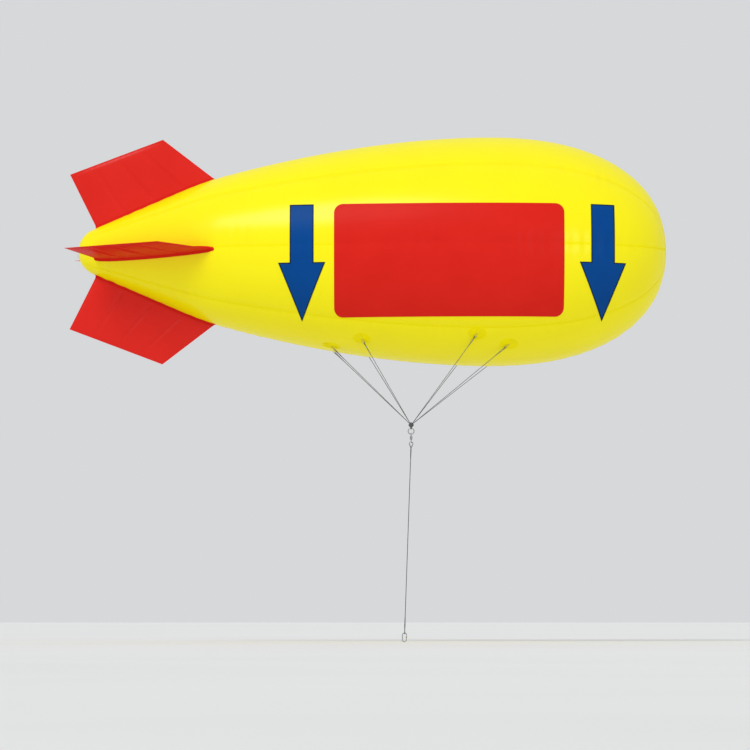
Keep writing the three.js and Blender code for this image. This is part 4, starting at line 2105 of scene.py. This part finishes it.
@dataclass
class Swivel:
    """Welded ring under the knot, and the ball-bearing swivel that hangs in it.

    Both profiles give radii and distances below their part's top.
    """

    x: float = -0.120
    ring_z: float = -1.8363
    ring_radius: float = 0.030
    ring_wire: float = 0.005
    ring_steps: int = 72
    ring_sides: int = 16
    weld_spot: float = 0.006
    weld_half: float = 0.0018
    weld_bead: float = 0.1
    eye: SteelEye = SteelEye()
    head_eye_z: float = -1.871
    head_swell: float = 0.45
    barrel_top: float = -1.884
    barrel_sides: int = 40
    barrel: Profile = (
        (NEAR_AXIS, -0.001), (0.0062, -0.001), (0.0078, 0.0006), (0.0098, 0.0016), (0.0118, 0.0032),
        (0.013, 0.0058), (0.013, 0.0118), (0.0121, 0.0126), (0.0121, 0.0138), (0.013, 0.0146),
        (0.013, 0.0236), (0.0121, 0.0244), (0.0121, 0.0256), (0.013, 0.0264), (0.013, 0.0345),
        (0.0118, 0.0374), (0.0104, 0.038), (0.0062, 0.038), (0.0062, 0.0344), (NEAR_AXIS, 0.0344),
    )
    lower_eye_z: float = -1.942
    lower_swell: float = 0.35
    shank_top: float = -1.9192
    shank_sides: int = 32
    shank: Profile = (
        (NEAR_AXIS, 0.0), (0.0044, 0.0), (0.005, 0.0006), (0.005, 0.0072), (0.0059, 0.0086),
        (0.0059, 0.0104), (NEAR_AXIS, 0.0104),
    )

    def place(self, z: float) -> Vector:
        """Returns the point on the swivel's axis at a height."""
        return Vector((self.x, 0, z))

    def ring(self) -> Surface:
        """Builds the ring, with the bead where its wire is welded.

        Returns:
            The ring.
        """
        first, second = X_AXIS * self.ring_radius, Z_AXIS * self.ring_radius
        path = arc(self.place(self.ring_z), first, second, 0, 360, self.ring_steps)[:-1]

        def section(spot: float) -> Section:
            """Returns the wire's section, thicker at the weld."""
            bead = exp(-(((spot - self.weld_spot) / self.weld_half) ** 2))
            return circle(self.ring_wire * (1 + self.weld_bead * bead), self.ring_sides)

        return sweep(path, section, Y_AXIS, closed=True)

    def housing(self) -> Surface:
        """Builds the upper eye and the grooved barrel."""
        barrel = lathe(self.barrel, -Z_AXIS, self.place(self.barrel_top), self.barrel_sides)
        return barrel.add(self.eye.build(self.place(self.head_eye_z), -Z_AXIS, self.head_swell))

    def stem(self) -> Surface:
        """Builds the turning stem and its lower eye."""
        shank = lathe(self.shank, -Z_AXIS, self.place(self.shank_top), self.shank_sides)
        return shank.add(self.eye.build(self.place(self.lower_eye_z), Z_AXIS, self.lower_swell))

    def build(self) -> None:
        """Makes the ring, the barrel and the stem."""
        steel = Finish.STEEL
        make_piece("ring_welded", self.ring(), "steel", steel, ["confluence_ring"])
        make_piece("swivel_housing", self.housing(), "steel", steel, ["swivel_barrel"], 35)
        make_piece("swivel_stem", self.stem(), "steel", steel, ["swivel_eye"], 35, Body.SWIVEL)


@dataclass
class Tether:
    """Tether with a thimble at each end, and the snap hook at its foot, all in the leaning frame.

    A winding gives its distance from the thimble's point, its length and its radius as a share of the
    rope's. The thimble's wall is one half of its section, by distances outwards and across.
    """

    pin: Vector = Vector((-0.120, 0, -1.956))
    lean: float = 2.0
    foot_z: float = -3.987
    rope: Rope = Rope(0.004, sides=12, step=0.005)
    top_thimble_z: float = -0.0082
    thimble_drop: float = 0.014
    thimble_radius: float = 0.016
    thimble_point: float = 0.034
    thimble_steps: int = 28
    thimble_wall: Profile = (
        (-0.0034, 0.0), (-0.002448, 0.002914), (0.0008, 0.004371), (0.0022, 0.0047), (0.0022, 0.0036),
        (0.0004, 0.003271), (-0.00143, 0.001974), (-0.0023, 0.0),
    )
    loop_lift: float = 0.0024
    loop_length: float = 0.012
    loop_steps: int = 32
    splice_gap: float = 0.004
    splice_length: float = 0.13
    splice_swell: float = 0.75
    windings: tuple[tuple[float, float, float], ...] = ((0.006, 0.018, 1.74), (0.13, 0.010, 1.06))
    hook_length: float = 0.100
    hook_half: float = 0.025
    hook_bar: float = 0.005
    hook_flat: float = 0.004
    hook_sides: int = 18
    hook_bend_steps: int = 26
    hook_end_step: float = 0.002
    gate_low: float = 0.030
    gate_high: float = 0.071
    gate_play: float = 0.0006
    gate_sides: int = 28
    gate: Profile = (
        (NEAR_AXIS, 0.0), (0.0034, 0.0), (0.0038, 0.001), (0.0038, 0.006), (0.0033, 0.0068),
        (0.0033, 0.035), (0.0038, 0.036), (0.0038, 0.040), (0.0032, 0.041), (NEAR_AXIS, 0.041),
    )
    hinge_above: float = 0.003
    hinge_sides: int = 20
    hinge: Profile = (
        (NEAR_AXIS, -0.0056), (0.0014, -0.0056), (0.0019, -0.0051), (0.0019, 0.0051), (0.0014, 0.0056),
        (NEAR_AXIS, 0.0056),
    )
    sleeve_above: float = 0.0105
    sleeve_length: float = 0.019
    sleeve_sides: int = 96
    sleeve_rim: Profile = ((0.0040, 0.0), (0.0054, 0.0), (0.0060, 0.0008))
    knurl_ridges: int = 24
    knurl_depth: float = 0.00035
    knurl_start: float = 0.0022
    knurl_step: float = 0.0016
    knurl_rows: int = 10
    matrix: Matrix = field(init=False)
    reach: float = field(init=False)
    low_thimble_z: float = field(init=False)

    def __post_init__(self) -> None:
        """Works out the leaning frame and the places that depend on the tether's length."""
        turned = Matrix.Rotation(radians(self.lean), 4, "Y")
        self.matrix = Matrix.Translation(self.pin) @ turned
        self.reach = (self.pin.z - self.foot_z) / cos(radians(self.lean))
        self.low_thimble_z = self.hook_length - self.reach - self.thimble_drop + self.thimble_radius

    def thimble(self, z: float, away: Vector, sideways: Vector) -> Surface:
        """Builds a grooved thimble.

        Args:
            z: height of its round end's centre.
            away: direction towards the line.
            sideways: the thimble's other direction.

        Returns:
            The thimble.
        """
        radius, point, steps = self.thimble_radius, self.thimble_point, self.thimble_steps
        path = teardrop(Z_AXIS * z, away, sideways, radius, point, steps)
        section = list(self.thimble_wall)
        section += [(outwards, -across) for outwards, across in self.thimble_wall[-2:0:-1]]
        return sweep(path, lambda spot: section, sideways.cross(away), closed=True)

    def eye_loop(self, z: float, away: Vector, sideways: Vector) -> Surface:
        """Builds the rope's loop in a thimble's groove.

        Args:
            z: height of its round end's centre.
            away: direction towards the line.
            sideways: the loop's other direction.

        Returns:
            The loop.
        """
        radius, point = self.thimble_radius + self.loop_lift, self.thimble_point + self.loop_length
        path = teardrop(Z_AXIS * z, away, sideways, radius, point, self.loop_steps)
        return self.rope.along(path, closed=True, across=away.cross(sideways))

    def line(self) -> Surface:
        """Builds the line with a loop and a tapered splice at each end.

        Returns:
            The line.
        """
        top = self.top_thimble_z - self.thimble_point - self.splice_gap
        low = self.low_thimble_z + self.thimble_point + self.splice_gap
        path = straight(Z_AXIS * top, Z_AXIS * low, self.rope.step)

        def scale(spot: float) -> float:
            """Returns how thick the splices make the line."""
            return splice(min(spot, top - low - spot), self.splice_length, self.splice_swell)

        rope = self.rope.along(path, scale)
        rope.add(self.eye_loop(self.top_thimble_z, -Z_AXIS, X_AXIS))
        return rope.add(self.eye_loop(self.low_thimble_z, Z_AXIS, Y_AXIS))

    def whippings(self) -> Surface:
        """Winds twine round both throats and both splice ends.

        Returns:
            All windings.
        """
        top = self.top_thimble_z - self.thimble_point
        low = self.low_thimble_z + self.thimble_point
        wound = Surface()
        for throat, way in ((top, -Z_AXIS), (low, Z_AXIS)):
            for near, length, share in self.windings:
                start = Z_AXIS * throat + way * near
                wound.add(self.rope.whipping(start, start + way * length, share))
        return wound

    def hook_place(self, height: float, side: float) -> Vector:
        """Returns a point on the hook, by its height above the foot and its distance aside."""
        return Vector((side, 0, height - self.reach))

    def hook_body(self) -> Surface:
        """Builds the hook's bar from the gate's nose round to the gate's hinge.

        Returns:
            The bar.
        """
        reach = self.hook_half - self.hook_bar
        side, up = X_AXIS * reach, Z_AXIS * reach
        low = self.hook_place(self.hook_half, 0)
        high = self.hook_place(self.hook_length - self.hook_half, 0)
        nose = self.hook_place(self.gate_high + self.gate_play, reach)
        hinge = self.hook_place(self.gate_low - self.gate_play, reach)
        path = straight(nose, high + side, self.hook_end_step)[:-1]
        path += arc(high, side, up, 0, 180, self.hook_bend_steps)
        path += straight(high - side, low - side, EYE_STEP)[1:-1]
        path += arc(low, -side, -up, 0, 180, self.hook_bend_steps)
        path += straight(low + side, hinge, self.hook_end_step)[1:]
        section = oval(self.hook_bar, self.hook_flat, self.hook_sides)
        return sweep(path, lambda spot: section, Y_AXIS)

    def hook_gate(self) -> Surface:
        """Builds the gate with its hinge pin.

        Returns:
            The gate.
        """
        reach = self.hook_half - self.hook_bar
        gate = lathe(self.gate, Z_AXIS, self.hook_place(self.gate_low, reach), self.gate_sides)
        place = self.hook_place(self.gate_low + self.hinge_above, reach)
        return gate.add(lathe(self.hinge, Y_AXIS, place, self.hinge_sides))

    def hook_sleeve(self) -> Surface:
        """Builds the knurled sleeve that locks the gate.

        Returns:
            The sleeve.
        """
        origin = self.hook_place(self.gate_low + self.sleeve_above, self.hook_half - self.hook_bar)
        widest = self.sleeve_rim[-1][0]
        rows = [(radius, height, 0.0) for radius, height in self.sleeve_rim]
        for i in range(self.knurl_rows):
            rows.append((widest, self.knurl_start + self.knurl_step * i, self.knurl_depth))
        rows += [(radius, self.sleeve_length - height, 0.0) for radius, height in self.sleeve_rim[::-1]]
        rings = []
        for radius, height, depth in rows:
            ring = []
            for j in range(self.sleeve_sides):
                turn = TURN * j / self.sleeve_sides
                reach = radius + depth * cos(self.knurl_ridges * turn)
                spot = X_AXIS * (reach * cos(turn)) + Y_AXIS * (reach * sin(turn))
                ring.append(origin + spot + Z_AXIS * height)
            rings.append(ring)
        return loft(rings)

    def build(self) -> None:
        """Makes the tether's pieces."""
        thimbles = self.thimble(self.top_thimble_z, -Z_AXIS, X_AXIS)
        thimbles.add(self.thimble(self.low_thimble_z, Z_AXIS, Y_AXIS))
        parts = (
            ("tether_rope", self.line(), "rope", Finish.ROPE, ["tether_line"], None),
            ("tether_thimbles", thimbles, "steel", Finish.STEEL, (), 40),
            ("tether_whippings", self.whippings(), "rope", Finish.THREAD, (), None),
            ("snap_hook", self.hook_body(), "steel", Finish.STEEL, ["tether_hook"], 40),
            ("snap_gate", self.hook_gate(), "steel", Finish.STEEL, (), 35),
            ("snap_sleeve", self.hook_sleeve(), "steel", Finish.BRASS, (), 35),
        )
        for name, surface, slot, finish, nodes, sharp in parts:
            moved = surface.moved(self.matrix)
            make_piece(name, moved, slot, finish, nodes, sharp, Body.TETHER)


# Studio


@dataclass
class Studio:
    """Floor, backdrop colour, lights and the camera at floor level."""

    floor_z: float = -3.9872
    floor_size: float = 400.0
    floor_steps: int = 8
    backdrop: Colour = (0.775, 0.79, 0.805)
    ambient: float = 0.87
    key_strength: float = 1.08
    key_angle: float = 24.0
    key_from: tuple[float, float, float] = (-0.45, -1.0, 0.9)
    fill_strength: float = 0.35
    fill_from: tuple[float, float, float] = (0.5, -1.0, 0.04)
    camera_place: tuple[float, float, float] = (-0.489, -45.0, -3.74)
    camera_target: tuple[float, float, float] = (-0.489, 0.0, -1.261)
    lens: float = 211.7
    sensor: float = 36.0
    sight: float = 1000.0

    def floor(self) -> None:
        """Lays the floor."""
        mesh = bpy.data.meshes.new("floor")
        steps, columns = self.floor_steps, self.floor_steps + 1
        spots = [self.floor_size * (i / steps - 0.5) for i in range(columns)]
        points = [(x, y, self.floor_z) for y in spots for x in spots]
        corners = [j * columns + i for j in range(steps) for i in range(steps)]
        faces = [(low, low + 1, low + columns + 1, low + columns) for low in corners]
        mesh.from_pydata(points, [], faces)
        mesh.materials.append(Finish.FLOOR.material())
        floor = bpy.data.objects.new("floor", mesh)
        bpy.context.scene.collection.objects.link(floor)
        floor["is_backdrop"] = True

    def sun(self, name: str, strength: float, angle: float, source: tuple[float, float, float]) -> None:
        """Hangs a wide, soft light.

        Args:
            name: the light's name.
            strength: its strength.
            angle: how wide it is in the sky, in degrees.
            source: direction that it comes from.
        """
        data = bpy.data.lights.new(name, "SUN")
        data.energy = strength
        data.angle = radians(angle)
        light = bpy.data.objects.new(name, data)
        light.rotation_euler = Vector(source).to_track_quat("Z", "Y").to_euler()
        bpy.context.scene.collection.objects.link(light)

    def camera(self) -> None:
        """Sets up the camera."""
        data = bpy.data.cameras.new("camera")
        data.lens = self.lens
        data.sensor_width = self.sensor
        data.clip_end = self.sight
        camera = bpy.data.objects.new("camera", data)
        place = Vector(self.camera_place)
        camera.location = place
        aim = Vector(self.camera_target) - place
        camera.rotation_euler = aim.to_track_quat("-Z", "Y").to_euler()
        bpy.context.scene.collection.objects.link(camera)
        bpy.context.scene.camera = camera

    def build(self) -> None:
        """Makes the studio."""
        world = bpy.data.worlds.new("studio")
        bpy.context.scene.world = world
        world.use_nodes = True
        background = world.node_tree.nodes["Background"]
        background.inputs["Color"].default_value = (*self.backdrop, 1)
        background.inputs["Strength"].default_value = self.ambient
        bpy.context.scene.view_settings.view_transform = "Standard"
        self.floor()
        self.sun("key_light", self.key_strength, self.key_angle, self.key_from)
        self.sun("fill_light", self.fill_strength, self.key_angle, self.fill_from)
        self.camera()
        LOG.info("studio: floor, two lights and camera")


def main() -> None:
    """Builds every sub-assembly."""
    logging.basicConfig(level=logging.INFO, format="%(message)s")
    hull = HullShape()
    knot = Vector((-0.120, 0, -1.773))
    Studio().build()
    HullCover(hull).build()
    FillerValve(hull).build()
    for place in FIN_PLACES:
        Fin(hull, *place).build()
    Artwork(hull).build()
    for side in Side:
        for place in LOAD_PATCHES:
            BridleLine(hull, knot, side, *place).build()
    BridleKnot(knot).build()
    Swivel().build()
    Tether().build()
    boxes = {"cad": CAD_BOX, "visual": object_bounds()}
    plain = {name: [[float(value) for value in corner] for corner in box] for name, box in boxes.items()}


if __name__ == "__main__":
    main()
